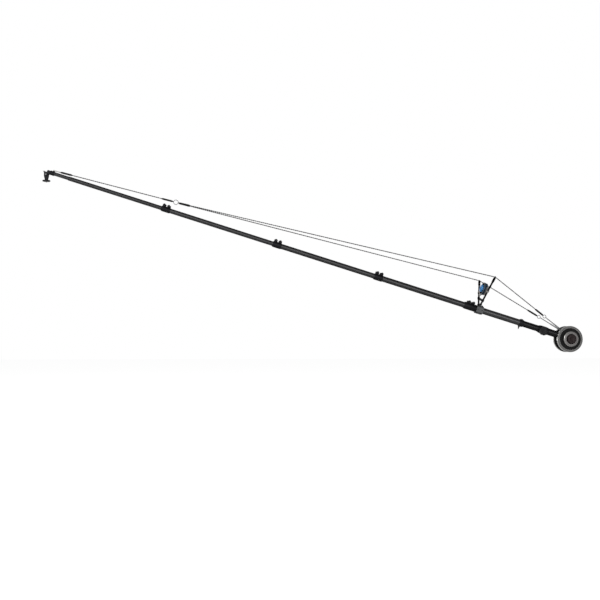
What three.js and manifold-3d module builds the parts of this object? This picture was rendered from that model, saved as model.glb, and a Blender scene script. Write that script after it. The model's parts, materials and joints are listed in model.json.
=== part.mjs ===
// Telescoping camera jib arm with king posts, wire stays and rear counterweights.
// Millimetres, +Z up. The arm points its tip towards -X and is raised by boomAngle.
// The origin is the middle of the flat face under the fulcrum block.
import * as THREE from 'three';
import { mergeVertices } from 'three/addons/utils/BufferGeometryUtils.js';
import Module from 'manifold-3d';

const wasm = await Module();
wasm.setup();

// Fits shared by all pieces
const seatGap = 0.3;
const slideClearance = 0.5;
const cutOverrun = 4;
const weldTolerance = 1e-4;
const curveSteps = 10;
const boomAngle = THREE.MathUtils.degToRad(17.2);

// Tubes of the arm: outer diameter of the base tube, the others follow by wall and clearance
const baseTubeDiameter = 56;
const tubeWall = 2;
const tubeSides = 24;
const insertLength = 100;
const glideBandLength = 30;
const glideBandRise = 0.3;
const section4Exposed = 871;
const section3Exposed = 947;
const section2Exposed = 1019;
const section1Exposed = 871;
const tipTubeExposed = 155;
const baseTubeFront = 90;
const baseTubeRear = 740;

// Split clamps where one tube slides into the next
const clampLength = 80;
const baseClampLength = 112;
const clampWall = 4.5;
const clampTaperLength = 10;
const clampSlit = 3;
const earHalfWidth = 18;
const earLength = 30;
const earRise = 14;
const earPitch = 40;
const earRootShare = 0.6;
const screwHeight = 8;
const screwRadius = 3;
const thumbRadius = 11.5;
const thumbLength = 12;
const thumbNeck = 5;
const thumbRound = 1.5;
const thumbSides = 16;

// Fulcrum block, its base plate and lock screw
const axisHeight = 37;
const blockLength = 62;
const blockHalfWidth = 35;
const blockTopRise = 34;
const blockBottomDrop = 30;
const blockChamfer = 14;
const plateLength = 62;
const plateHalfWidth = 30;
const threadRadius = 4.76;
const threadPitchAlong = 32;
const blockScrewReach = -21;
const blockScrewKnob = 6.5;
const blockScrewKnobHeight = 9;

// King posts standing in a V across the arm
const postReach = 8;
const postRadius = 8;
const postFootHeight = 38;
const postFootOut = 26;
const postTopHeight = 288;
const postTopOut = 224;
const socketRadius = 13;
const socketRise = 12;
const postCapRadius = 10.5;
const postCapLength = 46;
const postBallRadius = 7;
const postNeckRadius = 4;
const postNeckLength = 3;
const postSides = 12;
const braceNearHeight = 79;
const braceFarHeight = 109;
const braceThickness = 6;
const braceDepth = 20;
const clipWall = 4;
const clipLength = 18;

// Stay tensioner between the posts
const tensionHeight = 192;
const tensionPlateThickness = 6;
const tensionPlateLow = 124;
const tensionPlateHigh = 204;
const tensionArchRise = 18;
const tensionKnobRadius = 34;
const tensionKnobLength = 27;
const tensionKnobLobes = 7;
const tensionKnobLobeDepth = 3.8;
const tensionKnobClearance = 1;
const tensionSpindleRadius = 6;
const tensionRingRadius = 57;
const tensionRingLength = 17;
const tensionRingBand = 7;
const tensionRingWall = 4;
const tensionHubRadius = 55;
const tensionHubLength = 11;

// Tip: end cap, lock lever, hanging head and its round platform
const capLength = 36;
const capWall = 4;
const capFrontWall = 8;
const lugReachBack = 24;
const lugHalfThickness = 3;
const lugRadius = 6;
const lugPinRadius = 2.2;
const lugRise = 5.5;
const pivotForward = 26;
const pivotDrop = 28;
const pivotBossRadius = 12;
const pivotBossHalfWidth = 9;
const tongueShare = 0.75;
const axleRadius = 5;
const axleHeadRadius = 8;
const axleHeadLength = 4;
const cheekThickness = 5;
const cheekRadius = 19;
const cheekTop = 27;
const cheekTopLength = 15;
const cheekFlankDrop = 14;
const neckRadius = 10;
const platformRadius = 33;
const platformTopDrop = 48;
const platformThickness = 10;
const platformChamfer = 2.5;
const studRadius = 4.7;
const studLength = 9;
const studFlangeRadius = 9;
const studFlangeThickness = 4;
const leverHubRadius = 12;
const leverHubLength = 11;
const leverLength = 31;
const leverArmRadius = 4;
const leverBallRadius = 5.5;
const leverAngle = THREE.MathUtils.degToRad(124);

// Stays: wires, sleeves, splitter ring and rear shackles
const wireRadius = 2.5;
const wireSides = 8;
const sleeveRadius = 6.5;
const sleeveLength = 107;
const sleeveTaper = 16;
const sleeveEndShare = 0.55;
const sleeveSides = 12;
const linkLength = 60;
const linkWidth = 12;
const linkHeight = 8;
const linkForkDepth = 16;
const ringBehindClamp = 64;
const ringHeight = 88;
const splitterRadius = 20;
const shackleRadius = 14;
const ringWireRadius = 2.5;
const ringSegments = 24;
const ringSides = 8;
const sideStayOut = 6.9;
const rearSleeveStartShare = 0.57;

// Tail: sliding sleeve with its clamp, the stay anchor, weight bar and discs
const tailClampReach = -617;
const tailClampLength = 92;
const tailClampWall = 5.5;
const tailClampBevel = 24;
const tailSleeveWall = 2;
const tailSleeveRear = 905;
const tailEndWall = 6;
const tailScrewDrop = 16;
const tailBossHalfLength = 20;
const tailBossHalfHeight = 10;
const tailBossRise = 9;
const tailKnobForward = 10;
const tailKnobRadius = 38;
const tailKnobLength = 18;
const tailKnobLobes = 6;
const tailKnobLobeDepth = 3.8;
const anchorReach = -816;
const anchorHeight = 39;
const anchorHalfThickness = 3;
const anchorRadius = 9;
const anchorHoleRadius = 4.5;
const weightReach = -865;
const weightDrop = 9;
const weightBarRadius = 12.5;
const discSpacer = 1;
const discRadius = 118;
const discThickness = 23;
const discRim = 28;
const discRecess = 6;
const smallDiscRadius = 68;
const smallDiscThickness = 25;
const smallDiscRim = 20;
const smallDiscRecess = 7;
const discEdge = 3;
const discSides = 40;
const nutRadius = 42;
const nutLength = 22;
const nutLobes = 8;
const nutLobeDepth = 3.8;
const stepsPerLobe = 6;
const nutHubRadius = 20;
const nutHubRise = 5;

// Accessory collar under the rear of the base tube
const collarReach = -404;
const collarLength = 36;
const collarWall = 5;
const collarEarHalfWidth = 9;
const collarEarRise = 3;
const cleatHalfWidth = 7;
const cleatDrop = 8;
const cleatRadius = 6;
const tabHalfWidth = 3;
const tabLength = 20;
const tabRadius = 5;
const tabPinRadius = 2;

const material = (color, roughness, metalness) =>
  new THREE.MeshStandardMaterial({ color, roughness, metalness });
const carbonBlack = material(0x17181a, 0.38, 0.1);
const anodisedBlack = material(0x101113, 0.45, 0.6);
const greyAluminium = material(0x8c8e90, 0.35, 0.9);
const tipGrey = material(0x3a3b3d, 0.35, 0.5);
const blueAnodised = material(0x1c6fd0, 0.3, 0.6);
const sleeveBlack = material(0x141414, 0.6, 0);
const steelWire = material(0xb5b7ba, 0.3, 1);
const castIron = material(0x2b2b28, 0.6, 0.3);
const knobBlack = material(0x121212, 0.55, 0);

// Closed meshes and booleans

function closed(geometry) {
  const bare = geometry.clone();
  for (const name of Object.keys(bare.attributes)) {
    if (name !== 'position') {
      bare.deleteAttribute(name);
    }
  }
  const merged = mergeVertices(bare, weldTolerance);
  const index = merged.getIndex().array;
  const kept = [];
  for (let i = 0; i < index.length; i += 3) {
    const [a, b, c] = [index[i], index[i + 1], index[i + 2]];
    if (a !== b && b !== c && c !== a) {
      kept.push(a, b, c);
    }
  }
  merged.setIndex(kept);
  return signedVolume(merged) < 0 ? turnedInsideOut(merged) : merged;
}

function signedVolume(geometry) {
  const place = geometry.getAttribute('position');
  const index = geometry.getIndex().array;
  const corners = [new THREE.Vector3(), new THREE.Vector3(), new THREE.Vector3()];
  let sum = 0;
  for (let i = 0; i < index.length; i += 3) {
    corners.forEach((corner, k) => corner.fromBufferAttribute(place, index[i + k]));
    sum += corners[0].dot(corners[1].clone().cross(corners[2]));
  }
  return sum / 6;
}

function turnedInsideOut(geometry) {
  const index = Array.from(geometry.getIndex().array);
  for (let i = 0; i < index.length; i += 3) {
    [index[i + 1], index[i + 2]] = [index[i + 2], index[i + 1]];
  }
  geometry.setIndex(index);
  return geometry;
}

function solid(geometry) {
  const shape = closed(geometry);
  return new wasm.Manifold(new wasm.Mesh({
    numProp: 3,
    vertProperties: new Float32Array(shape.getAttribute('position').array),
    triVerts: new Uint32Array(shape.getIndex().array),
  }));
}

function geometryOf(manifold) {
  const mesh = manifold.getMesh();
  const geometry = new THREE.BufferGeometry();
  const stride = mesh.numProp;
  const count = mesh.vertProperties.length / stride;
  const places = new Float32Array(count * 3);
  for (let i = 0; i < count; i += 1) {
    for (let k = 0; k < 3; k += 1) {
      places[3 * i + k] = mesh.vertProperties[stride * i + k];
    }
  }
  geometry.setAttribute('position', new THREE.BufferAttribute(places, 3));
  geometry.setIndex(Array.from(mesh.triVerts));
  return geometry;
}

function joined(...geometries) {
  return geometryOf(geometries.map(solid).reduce((whole, next) => whole.add(next)));
}

function cut(geometry, ...tools) {
  return geometryOf(tools.map(solid).reduce((whole, tool) => whole.subtract(tool), solid(geometry)));
}

// Shapes

function box(x0, x1, y0, y1, z0, z1) {
  const geometry = new THREE.BoxGeometry(x1 - x0, y1 - y0, z1 - z0);
  return geometry.translate((x0 + x1) / 2, (y0 + y1) / 2, (z0 + z1) / 2);
}

function turned(profile, sides) {
  return new THREE.LatheGeometry(profile.map(([r, along]) => new THREE.Vector2(r, along)), sides);
}

function turnedAlongX(profile, sides) {
  return turned(profile, sides).rotateZ(-Math.PI / 2);
}

function turnedAlongZ(profile, sides) {
  return turned(profile, sides).rotateX(Math.PI / 2);
}

function rodAlongY(radius, y0, y1, sides) {
  return turned([[0, y0], [radius, y0], [radius, y1], [0, y1]], sides);
}

function rodAlongX(radius, x0, x1, sides) {
  return turnedAlongX([[0, x0], [radius, x0], [radius, x1], [0, x1]], sides);
}

function rodAlongZ(radius, z0, z1, sides) {
  return turnedAlongZ([[0, z0], [radius, z0], [radius, z1], [0, z1]], sides);
}

function ball(radius, centre, sides) {
  const geometry = new THREE.SphereGeometry(radius, sides, sides / 2);
  return geometry.translate(centre.x, centre.y, centre.z);
}

function aimed(geometry, start, direction) {
  const turn = new THREE.Quaternion().setFromUnitVectors(new THREE.Vector3(1, 0, 0), direction);
  return geometry.applyQuaternion(turn).translate(start.x, start.y, start.z);
}

function rodBetween(from, to, radius, sides) {
  const span = to.clone().sub(from);
  const length = span.length();
  return aimed(rodAlongX(radius, 0, length, sides), from, span.normalize());
}

function prismAlongY(points, y0, y1) {
  const shape = new THREE.Shape(points.map(([x, z]) => new THREE.Vector2(x, z)));
  const geometry = new THREE.ExtrudeGeometry(shape, { depth: y1 - y0, bevelEnabled: false });
  return geometry.rotateX(Math.PI / 2).translate(0, y1, 0);
}

function prismAlongX(shape, x0, x1) {
  const settings = { depth: x1 - x0, bevelEnabled: false, curveSegments: curveSteps };
  const geometry = new THREE.ExtrudeGeometry(shape, settings);
  return geometry.rotateX(Math.PI / 2).rotateZ(Math.PI / 2).translate(x0, 0, 0);
}

function lobedOutline(radius, lobes, depth) {
  const shape = new THREE.Shape();
  const steps = lobes * stepsPerLobe;
  for (let i = 0; i < steps; i += 1) {
    const angle = (i / steps) * Math.PI * 2;
    const wave = (1 - Math.cos(angle * lobes)) / 2;
    const reach = radius - depth * wave * wave;
    const [x, y] = [reach * Math.cos(angle), reach * Math.sin(angle)];
    if (i === 0) {
      shape.moveTo(x, y);
    } else {
      shape.lineTo(x, y);
    }
  }
  return shape;
}

function lobedKnob(radius, length, lobes, lobeDepth) {
  const bevel = length / 8;
  const geometry = new THREE.ExtrudeGeometry(lobedOutline(radius - bevel, lobes, lobeDepth), {
    depth: length - 2 * bevel,
    bevelEnabled: true,
    bevelThickness: bevel,
    bevelSize: bevel,
    bevelSegments: 1,
  });
  return geometry.translate(0, 0, bevel);
}

function ringAcross(centre, radius, wire) {
  const geometry = new THREE.TorusGeometry(radius, wire, ringSides, ringSegments);
  return geometry.rotateX(Math.PI / 2).translate(centre.x, centre.y, centre.z);
}

// Scene graph: everything on the tube axis hangs in axis, x runs to the rear

const crane = new THREE.Group();
const boom = new THREE.Group();
boom.rotation.y = boomAngle;
crane.add(boom);
const axis = new THREE.Group();
axis.position.z = axisHeight;
boom.add(axis);

function place(name, geometry, finish, parent = axis, position = [0, 0, 0]) {
  const mesh = new THREE.Mesh(closed(geometry), finish);
  mesh.name = name;
  mesh.position.set(...position);
  parent.add(mesh);
  return mesh;
}

const at = (reach, out, height) => new THREE.Vector3(-reach, out, height);

// Arm tubes

const tubeStep = tubeWall + slideClearance;
const radiusOf = {};
['base', 'section_4', 'section_3', 'section_2', 'section_1'].forEach((name, k) => {
  radiusOf[name] = baseTubeDiameter / 2 - k * tubeStep;
});
const tipTubeRadius = radiusOf.section_1 - tubeWall - seatGap;
const clampReach = {
  base: baseTubeFront,
  section_4: baseTubeFront + section4Exposed,
  section_3: baseTubeFront + section4Exposed + section3Exposed,
  section_2: baseTubeFront + section4Exposed + section3Exposed + section2Exposed,
};
const section1Front = clampReach.section_2 + section1Exposed;
const tipTubeFront = section1Front + tipTubeExposed;

function tube(radius, wall, front, rear, band) {
  const bore = radius - wall;
  const profile = [
    [bore, -front], [radius, -front], [radius, -rear - band], [radius + glideBandRise, -rear - band],
    [radius + glideBandRise, -rear], [bore, -rear], [bore, -front],
  ];
  const plain = [[bore, -front], [radius, -front], [radius, -rear], [bore, -rear], [bore, -front]];
  return turnedAlongX(band > 0 ? profile : plain, tubeSides);
}

place('base_tube', tube(radiusOf.base, tubeWall, clampReach.base, -baseTubeRear, 0), carbonBlack);
const slidingTubes = [
  ['section_4', clampReach.section_4, clampReach.base],
  ['section_3', clampReach.section_3, clampReach.section_4],
  ['section_2', clampReach.section_2, clampReach.section_3],
  ['section_1', section1Front, clampReach.section_2],
];
for (const [name, front, outerFront] of slidingTubes) {
  const rear = outerFront - insertLength;
  place(`${name}_tube`, tube(radiusOf[name], tubeWall, front, rear, glideBandLength), carbonBlack);
}
place(
  'tip_tube',
  tube(tipTubeRadius, tubeWall, tipTubeFront, section1Front - insertLength / 2, 0),
  tipGrey,
);

// Split clamps with two thumb screws each

function armClamp(outerRadius, innerRadius, length) {
  const half = length / 2;
  const big = outerRadius + clampWall;
  const small = innerRadius + clampWall;
  const bigBore = outerRadius + seatGap;
  const smallBore = innerRadius + slideClearance;
  const taperEnd = -half + clampTaperLength;
  const body = turnedAlongX([
    [smallBore, -half], [small, -half], [big, taperEnd], [big, half - clampWall],
    [big - clampWall / 2, half], [bigBore, half], [bigBore, -seatGap], [smallBore, -seatGap],
    [smallBore, -half],
  ], tubeSides);
  const ears = [-1, 1].map((side) => {
    const middle = (side * earPitch) / 2;
    const [low, high] = [outerRadius * earRootShare, big + earRise];
    return box(middle - earLength / 2, middle + earLength / 2, -earHalfWidth, earHalfWidth, low, high);
  });
  const clearBore = rodAlongX(bigBore, -seatGap, half + cutOverrun, tubeSides);
  const clearSmall = rodAlongX(smallBore, -half - cutOverrun, 0, tubeSides);
  const slitEnd = half + cutOverrun;
  const slit = box(-slitEnd, slitEnd, -clampSlit / 2, clampSlit / 2, 0, big + 2 * earRise);
  const holes = [-1, 1].map((side) => rodAlongY(
    screwRadius + seatGap,
    -earHalfWidth - cutOverrun,
    earHalfWidth + cutOverrun,
    postSides,
  ).translate((side * earPitch) / 2, 0, big + screwHeight));
  return cut(joined(body, ...ears), clearBore, clearSmall, slit, ...holes);
}

function thumbScrew() {
  const inner = -earHalfWidth - seatGap;
  const outer = inner - thumbLength;
  return turned([
    [0, outer], [thumbRadius - thumbRound, outer], [thumbRadius, outer + thumbRound],
    [thumbRadius, inner - thumbRound * 2], [thumbNeck, inner], [screwRadius, inner],
    [screwRadius, earHalfWidth + thumbRound], [0, earHalfWidth + thumbRound],
  ], thumbSides);
}

const clampRows = [
  ['base', 'section_4', baseClampLength],
  ['section_4', 'section_3', clampLength],
  ['section_3', 'section_2', clampLength],
  ['section_2', 'section_1', clampLength],
];
for (const [outer, inner, length] of clampRows) {
  const middle = -clampReach[outer];
  const clamp = armClamp(radiusOf[outer], radiusOf[inner], length);
  place(`${outer}_clamp`, clamp, anodisedBlack, axis, [middle, 0, 0]);
  for (const [end, side] of [['front', -1], ['rear', 1]]) {
    const height = radiusOf[outer] + clampWall + screwHeight;
    const where = [middle + (side * earPitch) / 2, 0, height];
    place(`${outer}_screw_${end}`, thumbScrew(), knobBlack, axis, where);
  }
}

// Fulcrum block clamped round the base tube, with sockets for the posts

const postFoot = (side) => at(postReach, side * postFootOut, postFootHeight);
const postTop = (side) => at(postReach, side * postTopOut, postTopHeight);
const postDirection = (side) => postTop(side).sub(postFoot(side)).normalize();
const alongPost = (side, distance) => postFoot(side).addScaledVector(postDirection(side), distance);
const postLength = postTop(1).sub(postFoot(1)).length();

function fulcrumBlock() {
  const [half, wide, top, low] = [blockLength / 2, blockHalfWidth, blockTopRise, -blockBottomDrop];
  const outline = new THREE.Shape([
    new THREE.Vector2(-wide, low), new THREE.Vector2(wide, low),
    new THREE.Vector2(wide, top - blockChamfer), new THREE.Vector2(wide - blockChamfer, top),
    new THREE.Vector2(blockChamfer - wide, top), new THREE.Vector2(-wide, top - blockChamfer),
  ]);
  const core = prismAlongX(outline, -half, half);
  const sockets = [-1, 1].map((side) => rodBetween(
    alongPost(side, -socketRise),
    alongPost(side, socketRise),
    socketRadius,
    postSides,
  ));
  const spigotHoles = [-1, 1].map((side) => rodBetween(
    alongPost(side, -seatGap),
    alongPost(side, socketRise + cutOverrun),
    postRadius + seatGap,
    postSides,
  ));
  const bore = rodAlongX(radiusOf.base + seatGap, -half - cutOverrun, half + cutOverrun, tubeSides);
  const slit = box(-half - cutOverrun, half + cutOverrun, -clampSlit / 2, clampSlit / 2, low - cutOverrun, 0);
  const screwHole = rodAlongZ(screwRadius + seatGap, 0, top + cutOverrun, postSides)
    .translate(-blockScrewReach, 0, 0);
  return cut(joined(core, ...sockets), ...spigotHoles, bore, slit, screwHole);
}

function mountPlate() {
  const [half, wide] = [plateLength / 2, plateHalfWidth];
  const plate = box(-half, half, -wide, wide, -axisHeight, -blockBottomDrop - seatGap);
  const holes = [-1, 1].map((side) => rodAlongZ(
    threadRadius,
    -axisHeight - cutOverrun,
    -blockBottomDrop + cutOverrun,
    thumbSides,
  ).translate((side * threadPitchAlong) / 2, 0, 0));
  return cut(plate, ...holes);
}

function blockScrew() {
  const seat = blockTopRise + seatGap;
  const top = seat + blockScrewKnobHeight;
  const foot = radiusOf.base + seatGap;
  return turnedAlongZ([
    [0, foot], [screwRadius, foot], [screwRadius, seat], [blockScrewKnob, seat],
    [blockScrewKnob, top - thumbRound], [blockScrewKnob - thumbRound, top], [0, top],
  ], thumbSides);
}

place('fulcrum_block', fulcrumBlock(), greyAluminium);
place('mount_plate', mountPlate(), anodisedBlack);
place('fulcrum_lock_screw', blockScrew(), knobBlack, axis, [-blockScrewReach, 0, 0]);

// King posts, their brace and the stay tensioner

function post(side) {
  const end = postLength - postBallRadius - postNeckLength;
  const capStart = end - postCapLength;
  const rod = turnedAlongX([
    [0, 0], [postRadius, 0], [postRadius, capStart], [postCapRadius, capStart + thumbRound],
    [postCapRadius, end - thumbRound], [postCapRadius - thumbRound, end], [postNeckRadius, end],
    [postNeckRadius, postLength], [0, postLength],
  ], postSides);
  const shaft = aimed(rod, postFoot(side), postDirection(side));
  return joined(shaft, ball(postBallRadius, postTop(side), postSides));
}

function clips(height) {
  return [-1, 1].map((side) => {
    const middle = (height[side] - postFootHeight) / postDirection(side).z;
    return rodBetween(
      alongPost(side, middle - clipLength / 2),
      alongPost(side, middle + clipLength / 2),
      postRadius + clipWall,
      postSides,
    );
  });
}

function postClearances() {
  return [-1, 1].map((side) => rodBetween(
    postFoot(side),
    alongPost(side, postLength),
    postRadius + seatGap,
    postSides,
  ));
}

function postBrace() {
  const ends = [[-1, braceNearHeight], [1, braceFarHeight]].map(([side, height]) => {
    return alongPost(side, (height - postFootHeight) / postDirection(side).z);
  });
  const span = ends[1].clone().sub(ends[0]);
  const length = span.length();
  const bar = box(0, length, -braceThickness / 2, braceThickness / 2, -braceDepth / 2, braceDepth / 2);
  const turn = Math.atan2(span.z, span.y);
  const placed = bar.rotateZ(Math.PI / 2).rotateX(turn).translate(ends[0].x, ends[0].y, ends[0].z);
  return cut(joined(placed, ...clips({ '-1': braceNearHeight, 1: braceFarHeight })), ...postClearances());
}

function outAt(height) {
  const slope = (postTopOut - postFootOut) / (postTopHeight - postFootHeight);
  return postFootOut + (height - postFootHeight) * slope;
}

function tensionPlate() {
  const [low, high] = [tensionPlateLow, tensionPlateHigh];
  const shape = new THREE.Shape();
  shape.moveTo(-outAt(low), low);
  shape.quadraticCurveTo(0, low + 2 * tensionArchRise, outAt(low), low);
  shape.lineTo(outAt(high), high);
  shape.lineTo(-outAt(high), high);
  const half = tensionPlateThickness / 2;
  const plate = prismAlongX(shape, -half, half).translate(-postReach, 0, 0);
  const middle = (low + high) / 2;
  const spindle = rodAlongX(tensionSpindleRadius + seatGap, -half - cutOverrun, half + cutOverrun, thumbSides)
    .translate(-postReach, 0, tensionHeight);
  return cut(joined(plate, ...clips({ '-1': middle, 1: middle })), ...postClearances(), spindle);
}

// The ring is a shallow cup in front of the plate, the knob turns in it and the hub sits behind

const tensionSeat = tensionPlateThickness / 2 + seatGap;
const cupFloor = tensionSeat + tensionRingWall;
const cupEnd = tensionSeat + tensionRingLength;
const knobFace = cupFloor + tensionKnobClearance;

function tensionKnob() {
  const grip = lobedKnob(tensionKnobRadius, tensionKnobLength, tensionKnobLobes, tensionKnobLobeDepth)
    .rotateY(-Math.PI / 2)
    .translate(-knobFace, 0, 0);
  const spindleFront = -knobFace - tensionKnobLength / 2;
  const spindleRear = tensionSeat + tensionHubLength / 2;
  const spindle = rodAlongX(tensionSpindleRadius, spindleFront, spindleRear, thumbSides);
  return joined(grip, spindle);
}

function tensionRing() {
  const outer = tensionRingRadius;
  const inner = outer - tensionRingBand;
  const bore = tensionSpindleRadius + seatGap;
  return turnedAlongX([
    [bore, -tensionSeat], [outer - thumbRound, -tensionSeat], [outer, -tensionSeat - thumbRound],
    [outer, thumbRound - cupEnd], [outer - thumbRound, -cupEnd], [inner, -cupEnd], [inner, -cupFloor],
    [bore, -cupFloor], [bore, -tensionSeat],
  ], tubeSides);
}

function tensionHub() {
  const start = tensionSeat;
  const end = start + tensionHubLength;
  const bore = tensionSpindleRadius + seatGap;
  return turnedAlongX([
    [bore, start], [tensionHubRadius, start], [tensionHubRadius, end - thumbRound * 2],
    [tensionHubRadius - thumbRound * 2, end], [0, end],
    [0, start + tensionHubLength / 2 + seatGap * 2], [bore, start + tensionHubLength / 2 + seatGap * 2],
    [bore, start],
  ], tubeSides);
}

place('post_near', post(-1), anodisedBlack);
place('post_far', post(1), anodisedBlack);
place('post_brace', postBrace(), anodisedBlack);
place('tension_plate', tensionPlate(), greyAluminium);
place('tension_knob', tensionKnob(), blueAnodised, axis, [-postReach, 0, tensionHeight]);
place('tension_ring', tensionRing(), greyAluminium, axis, [-postReach, 0, tensionHeight]);
place('tension_hub', tensionHub(), blueAnodised, axis, [-postReach, 0, tensionHeight]);

// Tip: cap, pivot, hanging head, stud and lock lever

const capFront = tipTubeFront + capFrontWall + seatGap;
const capRear = capFront - capLength;
const lugReach = capFront - lugReachBack;
const capRadius = tipTubeRadius + seatGap + capWall;
const lugHeight = capRadius + lugRise;
const pivotReach = capFront + pivotForward;

function tipCap() {
  const sleeve = turnedAlongX([
    [0, -capFront], [capRadius - thumbRound, -capFront], [capRadius, thumbRound - capFront],
    [capRadius, -capRear], [tipTubeRadius + seatGap, -capRear],
    [tipTubeRadius + seatGap, capFrontWall - capFront], [0, capFrontWall - capFront],
  ], tubeSides);
  const wide = pivotBossHalfWidth;
  const boss = rodAlongY(pivotBossRadius, -wide, wide, thumbSides).translate(-pivotReach, 0, -pivotDrop);
  const tongue = prismAlongY([
    [capWall - capFront, -tongueShare * capRadius], [capWall - capFront, tongueShare * capRadius],
    [-pivotReach, tongueShare * capRadius], [-pivotReach - pivotBossRadius, -pivotDrop],
    [pivotBossRadius - pivotReach, -pivotDrop],
  ], -wide, wide);
  const lug = joined(
    rodAlongY(lugRadius, -lugHalfThickness, lugHalfThickness, postSides).translate(-lugReach, 0, lugHeight),
    box(-lugRadius, lugRadius, -lugHalfThickness, lugHalfThickness, capRadius - capWall, lugHeight)
      .translate(-lugReach, 0, 0),
  );
  const lugEnd = lugHalfThickness + cutOverrun;
  const holes = [
    rodAlongY(axleRadius + seatGap, -wide - cutOverrun, wide + cutOverrun, thumbSides)
      .translate(-pivotReach, 0, -pivotDrop),
    rodAlongY(lugPinRadius + seatGap, -lugEnd, lugEnd, postSides).translate(-lugReach, 0, lugHeight),
    rodAlongX(tipTubeRadius + seatGap, capFrontWall - capFront, -capRear + cutOverrun, tubeSides),
  ];
  return cut(joined(sleeve, boss, tongue, lug), ...holes);
}

const cheekInner = pivotBossHalfWidth + seatGap;
const cheekOuter = cheekInner + cheekThickness;

function tipHead() {
  const cheeks = [-1, 1].flatMap((side) => {
    const [y0, y1] = [side * cheekInner, side * cheekOuter].sort((a, b) => a - b);
    const eye = rodAlongY(cheekRadius, y0, y1, thumbSides);
    const drop = -platformTopDrop + seatGap;
    const topRear = cheekTopLength - cheekRadius;
    const web = prismAlongY([
      [-cheekRadius, cheekTop], [-cheekRadius, -cheekFlankDrop], [-neckRadius, drop], [neckRadius, drop],
      [cheekRadius, -cheekFlankDrop], [cheekRadius, 0], [topRear, 0], [topRear, cheekTop],
    ], y0, y1);
    return [eye, web];
  });
  const bridgeTop = -pivotBossRadius - cheekThickness;
  const bridge = box(-neckRadius, neckRadius, -cheekOuter, cheekOuter, -platformTopDrop - seatGap, bridgeTop);
  const [top, low] = [-platformTopDrop, -platformTopDrop - platformThickness];
  const platform = turnedAlongZ([
    [0, top], [platformRadius - platformChamfer, top], [platformRadius, top - platformChamfer],
    [platformRadius, low + thumbRound], [platformRadius - thumbRound, low], [0, low],
  ], discSides);
  const axleEnd = cheekOuter + cutOverrun;
  const axleHole = rodAlongY(axleRadius + seatGap, -axleEnd, axleEnd, thumbSides);
  const studTop = low + 2 * studFlangeThickness;
  const studHole = rodAlongZ(studRadius + seatGap, low - cutOverrun, studTop, thumbSides);
  const flangeHole = rodAlongZ(
    studFlangeRadius + seatGap,
    low - cutOverrun,
    low + studFlangeThickness + seatGap,
    thumbSides,
  );
  return cut(joined(...cheeks, bridge, platform), axleHole, studHole, flangeHole);
}

function cameraStud() {
  const low = -platformTopDrop - platformThickness;
  const flangeTop = low + studFlangeThickness;
  return turnedAlongZ([
    [0, low - studLength], [studRadius - thumbRound / 2, low - studLength],
    [studRadius, low - studLength + thumbRound],
    [studRadius, low + seatGap], [studFlangeRadius, low + seatGap], [studFlangeRadius, flangeTop],
    [studRadius, flangeTop], [studRadius, flangeTop + studFlangeThickness - seatGap],
    [0, flangeTop + studFlangeThickness - seatGap],
  ], thumbSides);
}

function tipAxle() {
  const near = -cheekOuter - leverHubLength / 2;
  const far = cheekOuter + seatGap;
  return turned([
    [0, near], [axleRadius, near], [axleRadius, far], [axleHeadRadius, far],
    [axleHeadRadius, far + axleHeadLength - thumbRound], [axleHeadRadius - thumbRound, far + axleHeadLength],
    [0, far + axleHeadLength],
  ], thumbSides);
}

function tipLever() {
  const inner = -cheekOuter - seatGap;
  const outer = inner - leverHubLength;
  const hub = turned([
    [0, outer], [leverHubRadius - thumbRound, outer], [leverHubRadius, outer + thumbRound],
    [leverHubRadius, inner], [0, inner],
  ], thumbSides);
  const middle = (inner + outer) / 2;
  const [forward, rise] = [leverLength * Math.cos(leverAngle), leverLength * Math.sin(leverAngle)];
  const end = new THREE.Vector3(forward, middle, rise);
  const start = new THREE.Vector3(0, middle, 0);
  const arm = rodBetween(start, end, leverArmRadius, postSides);
  const seatEnd = -cheekOuter - leverHubLength / 2 - seatGap;
  const seat = rodAlongY(axleRadius + seatGap, seatEnd, inner + cutOverrun, thumbSides);
  return cut(joined(hub, arm, ball(leverBallRadius, end, postSides)), seat);
}

const head = new THREE.Group();
head.position.set(-pivotReach, 0, -pivotDrop);
head.rotation.y = -boomAngle;
axis.add(head);
place('tip_cap', tipCap(), anodisedBlack);
place('tip_head', tipHead(), anodisedBlack, head);
place('camera_stud', cameraStud(), steelWire, head);
place('tip_axle', tipAxle(), greyAluminium, head);
place('tip_lock_lever', tipLever(), knobBlack, head);

// Front stay: link, sleeves, wire and splitter ring over clamp 2

const ringCentre = at(clampReach.section_2 - ringBehindClamp, 0, ringHeight);
const ringOuter = splitterRadius + ringWireRadius;
const shackleOuter = shackleRadius + ringWireRadius;
const linkEye = at(lugReach, 0, lugHeight);
const stayDirection = linkEye.clone().sub(ringCentre).normalize();
const alongStay = (distance) => ringCentre.clone().addScaledVector(stayDirection, distance);
const stayLength = linkEye.clone().sub(ringCentre).length();

function staySleeve(start, direction) {
  const thin = sleeveRadius * sleeveEndShare;
  return aimed(turnedAlongX([
    [0, 0], [thin, 0], [sleeveRadius, sleeveTaper], [sleeveRadius, sleeveLength - sleeveTaper],
    [thin, sleeveLength], [0, sleeveLength],
  ], sleeveSides), start, direction);
}

function tipLink() {
  const end = stayLength + lugRadius;
  const start = end - linkLength;
  const fork = lugHalfThickness + seatGap;
  const bar = box(start, end, -linkWidth / 2, linkWidth / 2, -linkHeight / 2, linkHeight / 2);
  const slot = box(end - linkForkDepth, end + cutOverrun, -fork, fork, -linkHeight, linkHeight);
  const pin = rodAlongY(lugPinRadius, -fork - seatGap, fork + seatGap, postSides).translate(stayLength, 0, 0);
  return aimed(joined(cut(bar, slot), pin), ringCentre, stayDirection);
}

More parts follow.
